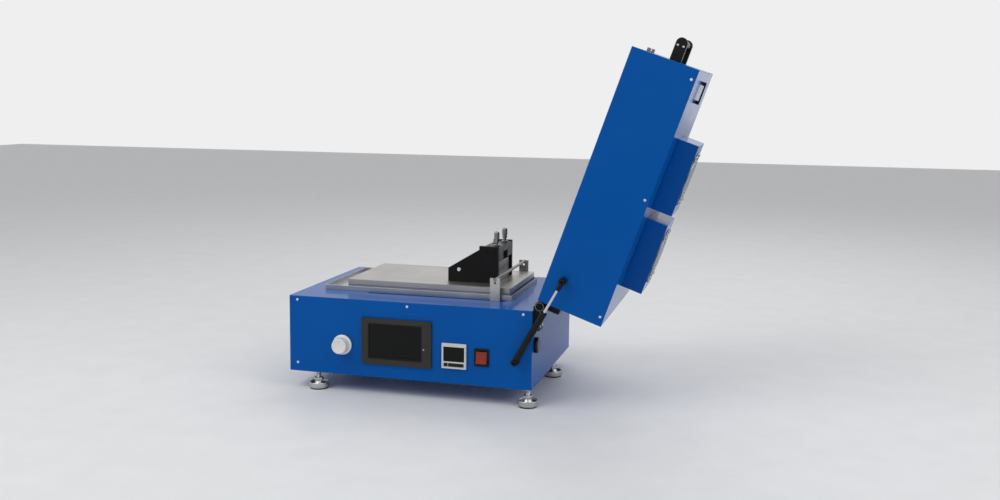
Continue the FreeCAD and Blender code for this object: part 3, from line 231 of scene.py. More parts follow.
class Looks(Enum):
    """Every finish on the machine."""

    BLUE = Finish("blue_enamel", "0053A3", "0057AA", rough=(0.13, 0.18), tone_scale=5.0, gloss_scale=25.0,
                  grain_scale=1400.0, grain_depth=0.02, specular=0.08)
    BED = Finish("ground_bed", "B4B1AD", "A8A5A1", metallic=1.0, rough=(0.34, 0.42), gloss_scale=40.0,
                 grain_scale=700.0, grain_depth=0.2, stretch=(0.03, 1.0, 1.0))
    STEEL = Finish("brushed_stainless", "BDBEBE", "B2B3B3", metallic=1.0, rough=(0.28, 0.34), gloss_scale=40.0,
                   grain_scale=900.0, grain_depth=0.12, stretch=(0.05, 1.0, 1.0))
    POST = Finish("upright_stainless", "C4C4C2", "ADADAC", metallic=1.0, rough=(0.30, 0.42), gloss_scale=80.0,
                  grain_scale=900.0, grain_depth=0.3, stretch=(1.0, 1.0, 0.04))
    CAST = Finish("machined_aluminium", "B9BBBD", "A8AAAC", metallic=1.0, rough=(0.34, 0.46),
                  grain_scale=800.0, grain_depth=0.2, stretch=(1.0, 0.06, 1.0))
    BRIGHT = Finish("polished_steel", "D8D8DA", "C9C9CC", metallic=1.0, rough=(0.10, 0.18),
                    grain_scale=1200.0, grain_depth=0.03)
    SATIN = Finish("satin_chrome", "8E8E8D", "7E7E7D", metallic=1.0, rough=(0.24, 0.36),
                   grain_scale=1100.0, grain_depth=0.08)
    BEAM = Finish("dark_satin_steel", "4A4A49", "3E3E3E", metallic=1.0, rough=(0.38, 0.5),
                  grain_scale=900.0, grain_depth=0.15, stretch=(1.0, 0.05, 1.0))
    BLADE = Finish("ground_tool_steel", "8E8D8A", "7F7E7C", metallic=1.0, rough=(0.36, 0.48),
                   grain_scale=900.0, grain_depth=0.25, stretch=(1.0, 0.05, 1.0))
    ANODISED = Finish("black_anodised", "070708", "0B0B0C", rough=(0.40, 0.52),
                      grain_scale=1600.0, grain_depth=0.1, specular=0.16)
    GLOSS_BLACK = Finish("black_lacquer", "060607", "0A0A0B", rough=(0.26, 0.36), grain_scale=1000.0,
                         grain_depth=0.04, specular=0.22)
    FRAME = Finish("moulded_dark_grey", "2F2D2B", "292725", rough=(0.42, 0.54), grain_scale=1800.0,
                   grain_depth=0.2, specular=0.3)
    MOULDED = Finish("moulded_black", "0B0B0C", "101011", rough=(0.42, 0.55), grain_scale=1700.0,
                     grain_depth=0.18, specular=0.2)
    SCREEN = Finish("screen_glass", "040505", "060707", rough=(0.14, 0.24), gloss_scale=30.0,
                    grain_scale=400.0, grain_depth=0.006, specular=0.18)
    BEZEL = Finish("light_bezel", "D6D7D5", "CBCCCA", rough=(0.40, 0.52), grain_scale=1500.0, grain_depth=0.1)
    KEY = Finish("dark_key_plastic", "111112", "171718", rough=(0.5, 0.6), grain_depth=0.12, specular=0.25)
    RED = Finish("red_lens_plastic", "96301A", "832613", rough=(0.25, 0.34), grain_depth=0.03, specular=0.35)
    WHITE = Finish("soft_white_plastic", "ECEBE8", "E2E1DE", rough=(0.34, 0.44), grain_scale=1500.0,
                   grain_depth=0.06, coat=0.1)
    SCREW = Finish("plated_screw", "E4E6EA", "D6D8DD", metallic=0.85, rough=(0.24, 0.34), grain_depth=0.04)
    RUBBER = Finish("black_rubber", "1A1A1A", "222221", rough=(0.7, 0.85), grain_scale=1500.0, grain_depth=0.4)
    BOARD = Finish("insulating_board", "8F96A3", "858C99", rough=(0.45, 0.6), grain_scale=700.0,
                   grain_depth=0.3)
    BRASS = Finish("plain_bronze", "A98547", "97743B", metallic=1.0, rough=(0.26, 0.38), grain_depth=0.08)
    CIRCUIT = Finish("circuit_green", "1D5A34", "17502D", rough=(0.35, 0.5), tone_scale=60.0)
    WIRE = Finish("bright_wire", "A9A9AB", "98989B", metallic=1.0, rough=(0.12, 0.22), grain_depth=0.03)
    LAMP = Finish("pilot_lamp", "B9B7AC", "ABA99D", rough=(0.2, 0.3), grain_depth=0.02, coat=0.4)


BODY_OF = {node: body for body, nodes in frame["record"]["behaviour"]["bodies"].items() for node in nodes}
CORNER = Vector(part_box("chassis_shell")[0])
HINGE = next(joint for joint in frame["record"]["behaviour"]["joints"] if joint["name"] == "lid_hinge")
PIVOT = Vector(HINGE["pos_m"])
LID_OPEN = math.radians(-HINGE["range_deg"][0])
ON_CASE = Matrix.Translation(CORNER)
ON_LID = (Matrix.Translation(PIVOT) @ Matrix.Rotation(LID_OPEN, 4, "Y") @ Matrix.Translation(-PIVOT)
          @ ON_CASE)
FACING = {
    "+x": Matrix.Rotation(math.radians(90), 4, "Y"),
    "-y": Matrix.Rotation(math.radians(90), 4, "X"),
    "+y": Matrix.Rotation(math.radians(-90), 4, "X"),
    "+z": Matrix.Identity(4),
}


class Bench:
    """Modelling steps that every sub-assembly uses."""

    @staticmethod
    def clear() -> None:
        """Leave edit mode and deselect everything."""
        if bpy.context.object and bpy.context.object.mode != "OBJECT":
            bpy.ops.object.mode_set(mode="OBJECT")
        bpy.ops.object.select_all(action="DESELECT")

    @staticmethod
    def pick(piece: bpy.types.Object) -> None:
        """Make one piece the active and only selected one.

        Args:
            piece: the mesh object.
        """
        Bench.clear()
        bpy.context.view_layer.objects.active = piece
        piece.select_set(True)

    @staticmethod
    def edit(piece: bpy.types.Object) -> None:
        """Open one piece in edit mode with all of it selected.

        Args:
            piece: the mesh object.
        """
        Bench.pick(piece)
        bpy.ops.object.mode_set(mode="EDIT")
        bpy.ops.mesh.select_all(action="SELECT")

    @staticmethod
    def bevel(piece: bpy.types.Object, width: float, segments: int = 2, angle: float = 32.0) -> None:
        """Round the sharp edges of a piece and level its shading.

        Args:
            piece: the mesh object.
            width: the bevel's width in metres.
            segments: the steps across the bevel.
            angle: the least turn, in degrees, that is an edge.
        """
        Bench.pick(piece)
        rounding = piece.modifiers.new("rounding", "BEVEL")
        rounding.width = width
        rounding.segments = segments
        rounding.limit_method = "ANGLE"
        rounding.angle_limit = math.radians(angle)
        rounding.use_clamp_overlap = True
        bpy.ops.object.modifier_apply(modifier=rounding.name)
        bpy.ops.object.shade_smooth_by_angle(angle=math.radians(40))
        level = piece.modifiers.new("level", "WEIGHTED_NORMAL")
        level.keep_sharp = True
        bpy.ops.object.modifier_apply(modifier=level.name)

    @staticmethod
    def name(piece: bpy.types.Object, name: str) -> bpy.types.Object:
        """Name a piece and its mesh.

        Args:
            piece: the mesh object.
            name: the new name.

        Returns:
            The same piece.
        """
        piece.name = name
        piece.data.name = name
        return piece

    @staticmethod
    def turned(name: str, profile: list[tuple[float, float]], steps: int = 64) -> bpy.types.Object:
        """Spin an outline about the Z axis, as on a lathe.

        Args:
            name: the piece's name.
            profile: (radius, height) points in millimetres.
            steps: the facets round it.

        Returns:
            The turned piece, in metres at the origin.
        """
        Bench.clear()
        bpy.ops.mesh.primitive_plane_add(size=MM)
        piece = Bench.name(bpy.context.object, name)
        Bench.edit(piece)
        bpy.ops.mesh.merge(type="CENTER")
        points = [Vector((radius * MM, 0, height * MM)) for radius, height in profile]
        bpy.ops.transform.translate(value=points[0])
        for before, after in zip(points, points[1:]):
            bpy.ops.mesh.extrude_vertices_move(TRANSFORM_OT_translate={"value": after - before})
        bpy.ops.mesh.select_all(action="SELECT")
        bpy.ops.mesh.spin(steps=steps, angle=2 * math.pi, center=(0, 0, 0), axis=(0, 0, 1))
        bpy.ops.mesh.select_all(action="SELECT")
        bpy.ops.mesh.remove_doubles(threshold=0.001 * MM)
        bpy.ops.mesh.normals_make_consistent(inside=False)
        Bench.clear()
        return piece

    @staticmethod
    def joined(name: str, pieces: list[bpy.types.Object]) -> bpy.types.Object:
        """Join pieces into one object at the origin.

        Args:
            name: the new piece's name.
            pieces: the objects, each placed in its mesh.

        Returns:
            The joined piece.
        """
        Bench.clear()
        for piece in pieces:
            piece.select_set(True)
        bpy.context.view_layer.objects.active = pieces[0]
        if len(pieces) > 1:
            bpy.ops.object.join()
        return Bench.name(pieces[0], name)

    @staticmethod
    def copies(piece: bpy.types.Object, places: list[Matrix]) -> list[bpy.types.Object]:
        """Put a copy of a piece, with its own mesh, at each place.

        Args:
            piece: the pattern, which is used up.
            places: where each copy goes.

        Returns:
            The copies.
        """
        made = []
        for place in places:
            copy = piece.copy()
            copy.data = piece.data.copy()
            bpy.context.collection.objects.link(copy)
            copy.data.transform(place)
            made.append(copy)
        bpy.data.objects.remove(piece)
        return made

    @staticmethod
    def dress(piece: bpy.types.Object, look: Looks, body: str, *nodes: str, slot: str = "") -> None:
        """Give a piece its finish, its body and the nodes that it stands for.

        Args:
            piece: the finished mesh object.
            look: its finish.
            body: the body that it rides on.
            nodes: the frame's nodes that it replaces.
            slot: not used.
        """
        piece.data.materials.clear()
        piece.data.materials.append(look.value.material())
        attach(piece, body)
        if nodes:
            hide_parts(*nodes)
        LOG.info("%s: %d faces", piece.name, len(piece.data.polygons))

    @staticmethod
    def softened(node: str, look: Looks, width: float, segments: int = 2) -> bpy.types.Object:
        """Stand a copy of a node, with merged faces and rounded edges, for the node.

        Args:
            node: the frame's node.
            look: its finish.
            width: the rounding's width in millimetres.
            segments: the steps across the rounding.

        Returns:
            The finished piece.
        """
        source = frame["nodes"][node]
        piece = bpy.data.objects.new(node + "_finished", source.data.copy())
        bpy.context.collection.objects.link(piece)
        Bench.edit(piece)
        bpy.ops.mesh.remove_doubles(threshold=0.002 * MM)
        bpy.ops.mesh.dissolve_limited(angle_limit=math.radians(0.6))
        Bench.clear()
        Bench.bevel(piece, width * MM, segments)
        Bench.dress(piece, look, BODY_OF[node], node)
        return piece

    @staticmethod
    def cross_screw(name: str, radius: float, tall: float) -> bpy.types.Object:
        """A domed screw head with a cross recess, standing on the origin along +Z.

        Args:
            name: the piece's name.
            radius: the head's radius in millimetres.
            tall: the head's height in millimetres.

        Returns:
            The screw head.
        """
        profile = [(0.0, -2.0), (radius * 0.5, -2.0), (radius * 0.5, 0.0), (radius, 0.0),
                   (radius, tall * 0.4), (radius * 0.86, tall * 0.78), (radius * 0.55, tall * 0.96),
                   (0.0, tall)]
        head = Bench.turned(name, profile, 32)
        for turn in (0, 90):
            Bench.clear()
            bpy.ops.mesh.primitive_cube_add(size=1.0)
            blade = bpy.context.object
            blade.data.transform(Matrix.Rotation(math.radians(turn), 4, "Z")
                                 @ Matrix.Translation((0, 0, tall * MM))
                                 @ Matrix.Diagonal((radius * 1.15 * MM, radius * 0.2 * MM, tall * MM, 1)))
            Bench.pick(head)
            recess = head.modifiers.new("recess", "BOOLEAN")
            recess.object = blade
            recess.solver = "EXACT"
            bpy.ops.object.modifier_apply(modifier=recess.name)
            bpy.data.objects.remove(blade)
        Bench.pick(head)
        bpy.ops.object.shade_smooth_by_angle(angle=math.radians(32))
        return head


def at(x: float, y: float, z: float, facing: str = "+z", frame_of: Matrix = ON_CASE) -> Matrix:
    """The place of a piece, from millimetres in the casing's own axes.

    Args:
        x: distance from the casing's left side.
        y: distance behind its front.
        z: height over its underside.
        facing: the way that the piece's own +Z points.
        frame_of: the casing's axes, or the closed lid's turned to where it stands.

    Returns:
        The matrix for the piece's mesh.
    """
    return frame_of @ Matrix.Translation(Vector((x, y, z)) * MM) @ FACING[facing]


@dataclass
class Casing:
    """The blue box, its deck, its feet and what stands out of its sides."""

    wide: float = 490.0
    deep: float = 350.0
    tall: float = 150.0
    screw_in: float = 17.0
    screw_down: float = 7.5
    screw_radius: float = 2.7
    screw_tall: float = 1.6
    screw_seat: float = 0.02
    feet_x: tuple[float, float] = (55.0, 480.0)
    feet_y: tuple[float, float] = (14.0, 235.0)
    foot_tall: float = 35.0
    foot_radius: float = 19.0
    cup_top: float = 17.2
    nut_across: float = 17.0
    nut_low: float = 16.0
    nut_tall: float = 6.0
    collar_radius: float = 8.0
    collars: tuple[tuple[float, float], ...] = ((32.2, 2.5), (36.6, 9.5))
    stud_radius: float = 5.0
    stud_top: float = 48.0
    thread_pitch: float = 1.5
    thread_deep: float = 0.6

    def build(self) -> None:
        """Make and dress the casing's pieces."""
        for node, look, width in (("chassis_shell", Looks.BLUE, 0.6), ("top_deck", Looks.BLUE, 0.5),
                                  ("rear_panel", Looks.BLUE, 0.3), ("side_port", Looks.GLOSS_BLACK, 1.2),
                                  ("mains_inlet", Looks.MOULDED, 0.6),
                                  ("vacuum_spigot", Looks.GLOSS_BLACK, 0.4),
                                  ("foot_pads", Looks.RUBBER, 0.4), ("power_supply", Looks.CAST, 0.5),
                                  ("control_board", Looks.CIRCUIT, 0.3)):
            Bench.softened(node, look, width)
        self._screws()
        self._feet()

    def _screws(self) -> None:
        """Cross-recess screws along the front and the rear."""
        rows = [self.screw_in, self.wide / 2, self.wide - self.screw_in]
        places = [at(x, self.screw_seat, self.tall - self.screw_down, "-y") for x in rows]
        places += [at(x, self.deep - self.screw_seat, self.tall - self.screw_down, "+y") for x in rows]
        places.append(at(self.screw_in, self.screw_seat, self.screw_in, "-y"))
        head = Bench.cross_screw("screw", self.screw_radius, self.screw_tall)
        screws = Bench.joined("case_screw_heads", Bench.copies(head, places))
        Bench.dress(screws, Looks.SCREW, "casing", "case_screws")

    def _feet(self) -> None:
        """Dished steel cups on threaded studs, each with its lock nut and washers."""
        places = [at(x, y, -self.foot_tall) for x in self.feet_x for y in self.feet_y]
        outer, stud, height = self.foot_radius, self.stud_radius, self.cup_top
        cup = [(0.0, 2.1), (outer - 2.0, 2.1), (outer - 0.3, 3.0), (outer, 4.2), (outer, 12.0),
               (outer - 0.6, 13.0), (outer - 1.8, 13.0), (outer - 2.5, 12.2), (outer - 2.7, 9.6),
               (outer - 4.0, 9.0), (10.0, 9.2), (8.2, 11.5), (6.6, 14.5), (6.0, 17.0),
               (stud, height), (0.0, height)]
        root = stud - self.thread_deep
        thread = [(0.0, height - 0.2), (root, height - 0.2)]
        while height < self.stud_top:
            thread.append((stud, height + self.thread_pitch / 2))
            thread.append((root, height + self.thread_pitch))
            height += self.thread_pitch
        thread.append((0.0, height))
        parts = []
        for name, outline, steps in (("foot_cup", cup, 72), ("foot_thread", thread, 32)):
            part = Bench.turned(name, outline, steps)
            Bench.bevel(part, 0.15 * MM, 1, 50.0)
            parts.append(part)
        parts.append(self._nut(self.nut_low, self.nut_tall, self.nut_across))
        inner, rim = stud - 0.4, self.collar_radius
        for low, tall in self.collars:
            ring = [(inner, low), (rim, low), (rim, low + tall), (inner, low + tall), (inner, low)]
            collar = Bench.turned("foot_collar", ring, 48)
            Bench.bevel(collar, 0.4 * MM)
            parts.append(collar)
        foot = Bench.joined("foot", parts)
        feet = Bench.joined("levelling_foot_set", Bench.copies(foot, places))
        Bench.dress(feet, Looks.STEEL, "casing", "levelling_feet")

    @staticmethod
    def _nut(low: float, tall: float, across: float) -> bpy.types.Object:
        """A hexagon nut with rounded corners on the foot's stud.

        Args:
            low: its underside above the floor, in millimetres.
            tall: its height.
            across: its width across flats.

        Returns:
            The nut.
        """
        Bench.clear()
        bpy.ops.mesh.primitive_cylinder_add(vertices=6, radius=across / math.sqrt(3) * MM, depth=tall * MM,
                                            location=(0, 0, (low + tall / 2) * MM))
        nut = Bench.name(bpy.context.object, "foot_nut")
        bpy.ops.object.transform_apply(location=True)
        Bench.bevel(nut, 0.9 * MM, 3)
        return nut


@dataclass
class ControlPanel:
    """Dial, touch screen, timer and power switch on the front."""

    dial_at: tuple[float, float] = (112.0, 59.5)
    dial_radius: float = 19.5
    dial_face: float = 13.5
    dial_tall: float = 20.0
    dial_gap: float = 0.4
    flutes: int = 48
    flute_deep: float = 0.35
    flutes_low: float = 4.0
    shaft_radius: float = 3.0
    shaft_in: float = 9.0
    mark_out: float = 8.2
    mark_size: tuple[float, float, float] = (1.2, 5.5, 0.5)
    lamp_at: tuple[float, float] = (279.5, 62.0)
    lamp_radius: float = 1.6
    window_low: tuple[float, float] = (170.0, 41.0)
    window_size: tuple[float, float] = (102.5, 62.5)
    frame_proud: float = 4.5
    rim_wide: float = 3.4
    rim_thick: float = 0.9
    rim_proud: float = 0.5

    def build(self) -> None:
        """Make and dress the panel's pieces."""
        for node, look, width in (("panel_body", Looks.FRAME, 2.4), ("panel_screen", Looks.SCREEN, 0.3),
                                  ("timer_body", Looks.BEZEL, 0.9), ("timer_window", Looks.SCREEN, 0.3),
                                  ("timer_set_button", Looks.KEY, 0.5),
                                  ("timer_mode_button", Looks.KEY, 0.5),
                                  ("rocker_housing", Looks.MOULDED, 0.8),
                                  ("power_rocker", Looks.RED, 0.8),
                                  ("speed_pot", Looks.MOULDED, 0.4)):
            Bench.softened(node, look, width)
        self._dial()
        self._lamp()
        self._rim()

    def _dial(self) -> None:
        """A white tapered dial with a shallow dished face and a fluted skirt."""
        tall = self.dial_tall
        skirt = self.dial_radius
        face = self.dial_face
        outline = [(0.0, 0.2), (skirt - 1.0, 0.2), (skirt, 0.8), (skirt, 2.4), (skirt - 0.8, 3.2),
                   (face + 2.6, 4.4), (face + 2.0, tall - 3.2), (face + 1.2, tall - 1.0),
                   (face + 0.2, tall - 0.2), (face - 1.4, tall - 0.05), (face - 2.4, tall - 0.9),
                   (0.0, tall - 1.1)]
        dial = Bench.turned("speed_dial_body", outline, self.flutes * 2)
        low, high = self.flutes_low * MM, (tall - 1.5) * MM
        for vertex in dial.data.vertices:
            point = vertex.co
            angle = math.atan2(point.y, point.x)
            notch = self.flute_deep * MM * (1 + math.cos(angle * self.flutes)) / 2
            reach = math.hypot(point.x, point.y)
            if low < point.z < high and reach > face * MM:
                point.x *= (reach - notch) / reach
                point.y *= (reach - notch) / reach
        Bench.bevel(dial, 0.25 * MM, 2, 50.0)
        shaft = Bench.turned("dial_shaft", [(0.0, -self.shaft_in), (self.shaft_radius, -self.shaft_in),
                                            (self.shaft_radius, 0.5), (0.0, 0.5)], 32)
        Bench.clear()
        bpy.ops.mesh.primitive_cube_add(size=1.0)
        mark = Bench.name(bpy.context.object, "dial_mark")
        mark.data.transform(Matrix.Translation((0, self.mark_out * MM, (tall - 0.95) * MM))
                            @ Matrix.Diagonal((*(side * MM for side in self.mark_size), 1)))
        Bench.bevel(mark, 0.12 * MM)
        place = at(self.dial_at[0], -self.dial_gap, self.dial_at[1], "-y")
        whole = Bench.joined("speed_dial_body", [dial, shaft])
        whole.data.transform(place)
        mark.data.transform(place)
        Bench.dress(whole, Looks.WHITE, "dial", "speed_dial")
        Bench.dress(mark, Looks.BEZEL, "dial", slot="dial_white")

    def _lamp(self) -> None:
        """The small pilot lamp on the frame beside the screen."""
        lamp = Bench.turned("pilot_lamp", [(0.0, -0.4), (self.lamp_radius, -0.4), (self.lamp_radius, 0.0),
                                           (self.lamp_radius * 0.7, 0.45), (0.0, 0.6)], 32)
        lamp.data.transform(at(self.lamp_at[0], -self.frame_proud, self.lamp_at[1], "-y"))
        Bench.bevel(lamp, 0.1 * MM)
        Bench.dress(lamp, Looks.LAMP, "casing", slot="dark_glass")

    def _rim(self) -> None:
        """The thin black rim round the touch screen's window."""
        wide, tall = self.window_size
        Bench.clear()
        bpy.ops.mesh.primitive_plane_add(size=1.0)
        rim = Bench.name(bpy.context.object, "screen_rim")
        rim.data.transform(Matrix.Diagonal(((wide + 2 * self.rim_wide) * MM,
                                            (tall + 2 * self.rim_wide) * MM, 1, 1)))
        Bench.edit(rim)
        bpy.ops.mesh.inset(thickness=self.rim_wide * MM)
        bpy.ops.mesh.delete(type="FACE")
        Bench.pick(rim)
        wall = rim.modifiers.new("wall", "SOLIDIFY")
        wall.thickness = self.rim_thick * MM
        bpy.ops.object.modifier_apply(modifier=wall.name)
        Bench.bevel(rim, 0.2 * MM)
        x, z = self.window_low
        rim.data.transform(at(x + wide / 2, -self.frame_proud - self.rim_proud, z + tall / 2, "-y"))
        Bench.dress(rim, Looks.GLOSS_BLACK, "casing", slot="black_plastic")


@dataclass
class Bed:
    """Tray, insulating block, vacuum plate and the driven push bar."""

    def build(self) -> None:
        """Make and dress the bed, the carriage and its drive."""
        for node, look, width in (("bed_tray", Looks.STEEL, 0.3), ("bed_block", Looks.BOARD, 0.4),
                                  ("bed_plate", Looks.BED, 0.7), ("push_posts", Looks.POST, 0.8),
                                  ("push_rod", Looks.BLADE, 0.6), ("carriage_block", Looks.CAST, 0.6),
                                  ("carriage_bushings", Looks.BRASS, 0.3), ("drive_mounts", Looks.CAST, 0.6),
                                  ("guide_rods", Looks.BRIGHT, 0.4), ("lead_screw", Looks.BRIGHT, 0.3),
                                  ("drive_motor", Looks.ANODISED, 1.0)):
            Bench.softened(node, look, width)


@dataclass
class Applicator:
    """The black blade applicator with its two screw gauges."""

    right: float = 388.5
    front: float = 129.5
    beam_top: float = 243.5
    gauge_back: float = 10.2
    gauges: tuple[float, float] = (155.0, 217.0)
    gauge_radius: float = 5.4
    gauge_tall: float = 21.6
    gauge_up: float = 8.6
    gauge_bore: float = 3.4
    dome_tall: float = 4.2
    knurls: int = 36
    knurl_deep: float = 0.34
    knurls_low: float = 7.5
    knurl_step: float = 0.9
    knurl_rings: int = 11
    screw_radius: float = 2.6
    screw_tall: float = 1.5
    screw_seat: float = 0.05
    top_screws_in: float = 24.0
    top_screws_y: tuple[float, float, float] = (147.0, 186.0, 225.0)
    cheek_screws_in: tuple[float, float] = (9.0, 24.0)
    cheek_screws_down: float = 9.0

    def build(self) -> None:
        """Make and dress the applicator's pieces."""
        for node, look, width in (("applicator_plates", Looks.ANODISED, 0.7),
                                  ("applicator_beam", Looks.BEAM, 0.6),
                                  ("applicator_blade", Looks.BLADE, 0.3),
                                  ("applicator_tie_rod", Looks.BRIGHT, 0.6),
                                  ("micrometer_sleeves", Looks.SATIN, 0.3)):
            Bench.softened(node, look, width)
        for name, y in zip(("front", "rear"), self.gauges):
            self._thimble(name, y)
        self._beam_screws()

    def _thimble(self, name: str, y: float) -> None:
        """A knurled thimble with a plain lower skirt and a domed cap.

        Args:
            name: front or rear.
            y: its distance behind the casing's front.
        """
        radius = self.gauge_radius
        tall = self.gauge_tall
        bore = self.gauge_bore
        rings = [(radius, self.knurls_low + index * self.knurl_step) for index in range(self.knurl_rings)]
        outline = [(bore, 0.0), (radius - 0.9, 0.0), (radius - 0.5, 0.4), (radius - 0.5, 6.6),
                   (radius - 0.1, 7.2)]
        dome = [math.radians(angle) for angle in (15, 35, 55, 75)]
        outline += rings + [(radius * math.cos(angle), tall - self.dome_tall * (1 - math.sin(angle)))
                            for angle in dome]
        outline += [(0.0, tall), (0.0, tall - 3.0), (bore, tall - 3.0), (bore, 0.0)]
        thimble = Bench.turned("thimble_%s_knurled" % name, outline, self.knurls * 4)
        for vertex in thimble.data.vertices:
            point = vertex.co
            reach = math.hypot(point.x, point.y)
            if reach > (radius - 0.05) * MM:
                angle = math.atan2(point.y, point.x)
                cut = self.knurl_deep * MM * (1 - math.cos(angle * self.knurls)) / 2
                point.x *= (reach - cut) / reach
                point.y *= (reach - cut) / reach
        thimble.data.transform(at(self.right - self.gauge_back, y, self.beam_top + self.gauge_up))
        Bench.bevel(thimble, 0.12 * MM, 1, 55.0)
        Bench.dress(thimble, Looks.SATIN, "gauge_" + name, "thimble_" + name)

    def _beam_screws(self) -> None:
        """Screws that hold the beam, on its top and through each cheek."""
        places = [at(self.right - self.top_screws_in, y, self.beam_top - self.screw_seat)
                  for y in self.top_screws_y]
        places += [at(self.right - across, self.front + self.screw_seat,
                      self.beam_top - self.cheek_screws_down, "-y") for across in self.cheek_screws_in]
        screw = Bench.cross_screw("beam_screw", self.screw_radius, self.screw_tall)
        heads = Bench.joined("applicator_screw_heads", Bench.copies(screw, places))
        Bench.dress(heads, Looks.ANODISED, "applicator", slot="black_metal")


@dataclass
class Lid:
    """The deep blue lid with its handle, pull, catch, fans and heaters."""

    deep: float = Casing.deep
    top: float = 276.0
    wide: float = Casing.wide
    screws_x: tuple[float, float, float] = (20.0, 245.0, 473.0)
    fan_starts: tuple[float, float] = (60.0, 219.0)
    fan_box: float = 140.0
    fan_tall: float = 40.0
    guard_centre: float = 12.0
    guard_radius: float = 54.0
    guard_wire: float = 1.1
    guard_rings: int = 6
    guard_arms: tuple[int, ...] = (45, 135, 225, 315)
    eye_reach: float = 64.0
    eye_radius: float = 3.0
    eye_screw_radius: float = 2.4
    eye_screw_tall: float = 1.2
    eye_screw_up: float = 0.4
    handle_x: float = -29.0
    handle_z: float = 218.0
    handle_ends: tuple[float, float] = (118.0, 232.0)
    handle_screws: tuple[float, float] = (-5.5, 5.5)
    handle_seat: float = 0.05
    pull_screws_x: tuple[float, float] = (22.5, 59.5)
    pull_tall: float = 7.1
    trim_radius: float = 2.2
    trim_tall: float = 0.9

    def build(self) -> None:
        """Make and dress the lid's pieces."""
        for node, look, width in (("lid_frame", Looks.BLUE, 0.6), ("lid_top", Looks.BLUE, 0.4),
                                  ("fan_housings", Looks.BLUE, 0.6), ("fan_frames", Looks.MOULDED, 0.8),
                                  ("fan_rotor_low", Looks.MOULDED, 0.4),
                                  ("fan_rotor_high", Looks.MOULDED, 0.4),
                                  ("lid_heaters", Looks.STEEL, 0.6), ("lid_pull", Looks.GLOSS_BLACK, 1.0),
                                  ("lid_keeper", Looks.BLADE, 0.4)):
            Bench.softened(node, look, width)
        Bench.softened("lid_handle", Looks.GLOSS_BLACK, 1.2, 3)
        self._screws()
        self._guards()
        self._trim()

    def _screws(self) -> None:
        """Cross-recess screws along both long sides."""
        height = self.top - Casing.screw_down
        places = [at(x, Casing.screw_seat, height, "-y", ON_LID) for x in self.screws_x]
        places += [at(x, self.deep - Casing.screw_seat, height, "+y", ON_LID) for x in self.screws_x]
        head = Bench.cross_screw("screw", Casing.screw_radius, Casing.screw_tall)
        screws = Bench.joined("lid_screw_heads", Bench.copies(head, places))
        Bench.dress(screws, Looks.SCREW, "lid", "lid_screws")

    def _guards(self) -> None:
        """Round wire guards: rings, four arms with screw eyes and a plain boss."""
        height = self.top + self.fan_tall + self.guard_wire
        centre = self.guard_centre
        span = self.guard_radius - centre
        parts = [self._ring(centre + span * (index + 1) / self.guard_rings - self.guard_wire, 96)
                 for index in range(self.guard_rings)]
        turns = [Matrix.Rotation(math.radians(angle), 4, "Z") for angle in self.guard_arms]
        for turn in turns:
            Bench.clear()
            bpy.ops.mesh.primitive_cylinder_add(vertices=12, radius=self.guard_wire * MM,
                                                depth=self.eye_reach * MM)
            arm = bpy.context.object
            arm.data.transform(turn @ Matrix.Translation((self.eye_reach / 2 * MM, 0, 0)) @ FACING["+x"])
            eye = self._ring(self.eye_radius, 32)
            eye.data.transform(turn @ Matrix.Translation((self.eye_reach * MM, 0, 0)))
            parts += [arm, eye]
        boss = Bench.turned("guard_boss", [(0.0, -1.0), (centre - 0.5, -1.0), (centre, -0.3),
                                           (centre - 0.6, 0.8), (0.0, 1.0)], 64)
        guard = Bench.joined("guard", parts + [boss])
        Bench.pick(guard)
        bpy.ops.object.shade_smooth_by_angle(angle=math.radians(50))
        places = [at(self.wide - start - self.fan_box / 2, self.deep / 2, height, "+z", ON_LID)
                  for start in self.fan_starts]
        guards = Bench.joined("wire_guards", Bench.copies(guard, places))
        Bench.dress(guards, Looks.WIRE, "lid", "finger_guards")
        screw = Bench.cross_screw("guard_screw", self.eye_screw_radius, self.eye_screw_tall)
        out = Matrix.Translation((self.eye_reach * MM, 0, self.eye_screw_up * MM))
        spots = [place @ turn @ out for place in places for turn in turns]
        heads = Bench.joined("guard_screw_heads", Bench.copies(screw, spots))
        Bench.dress(heads, Looks.ANODISED, "lid", slot="black_metal")

    def _ring(self, radius: float, steps: int) -> bpy.types.Object:
        """A closed ring of the guard's wire, flat at the origin.

        Args:
            radius: from its centre to the wire's middle, in millimetres.
            steps: the facets round it.

        Returns:
            The ring.
        """
        Bench.clear()
        bpy.ops.mesh.primitive_torus_add(major_radius=radius * MM, minor_radius=self.guard_wire * MM,
                                         major_segments=steps, minor_segments=10)
        return bpy.context.object

    def _trim(self) -> None:
        """Screws in the handle's cheeks and at the ends of the small pull."""
        screw = Bench.cross_screw("handle_screw", self.trim_radius, self.trim_tall)
        first, last = self.handle_ends
        places = [at(self.handle_x, first + self.handle_seat, self.handle_z + shift, "-y", ON_LID)
                  for shift in self.handle_screws]
        places += [at(self.handle_x, last - self.handle_seat, self.handle_z + shift, "+y", ON_LID)
                   for shift in self.handle_screws]
        places += [at(x, self.deep / 2, self.top + self.pull_tall, "+z", ON_LID) for x in self.pull_screws_x]
        heads = Bench.joined("handle_screw_heads", Bench.copies(screw, places))
        Bench.dress(heads, Looks.BRIGHT, "lid", slot="bright_steel")


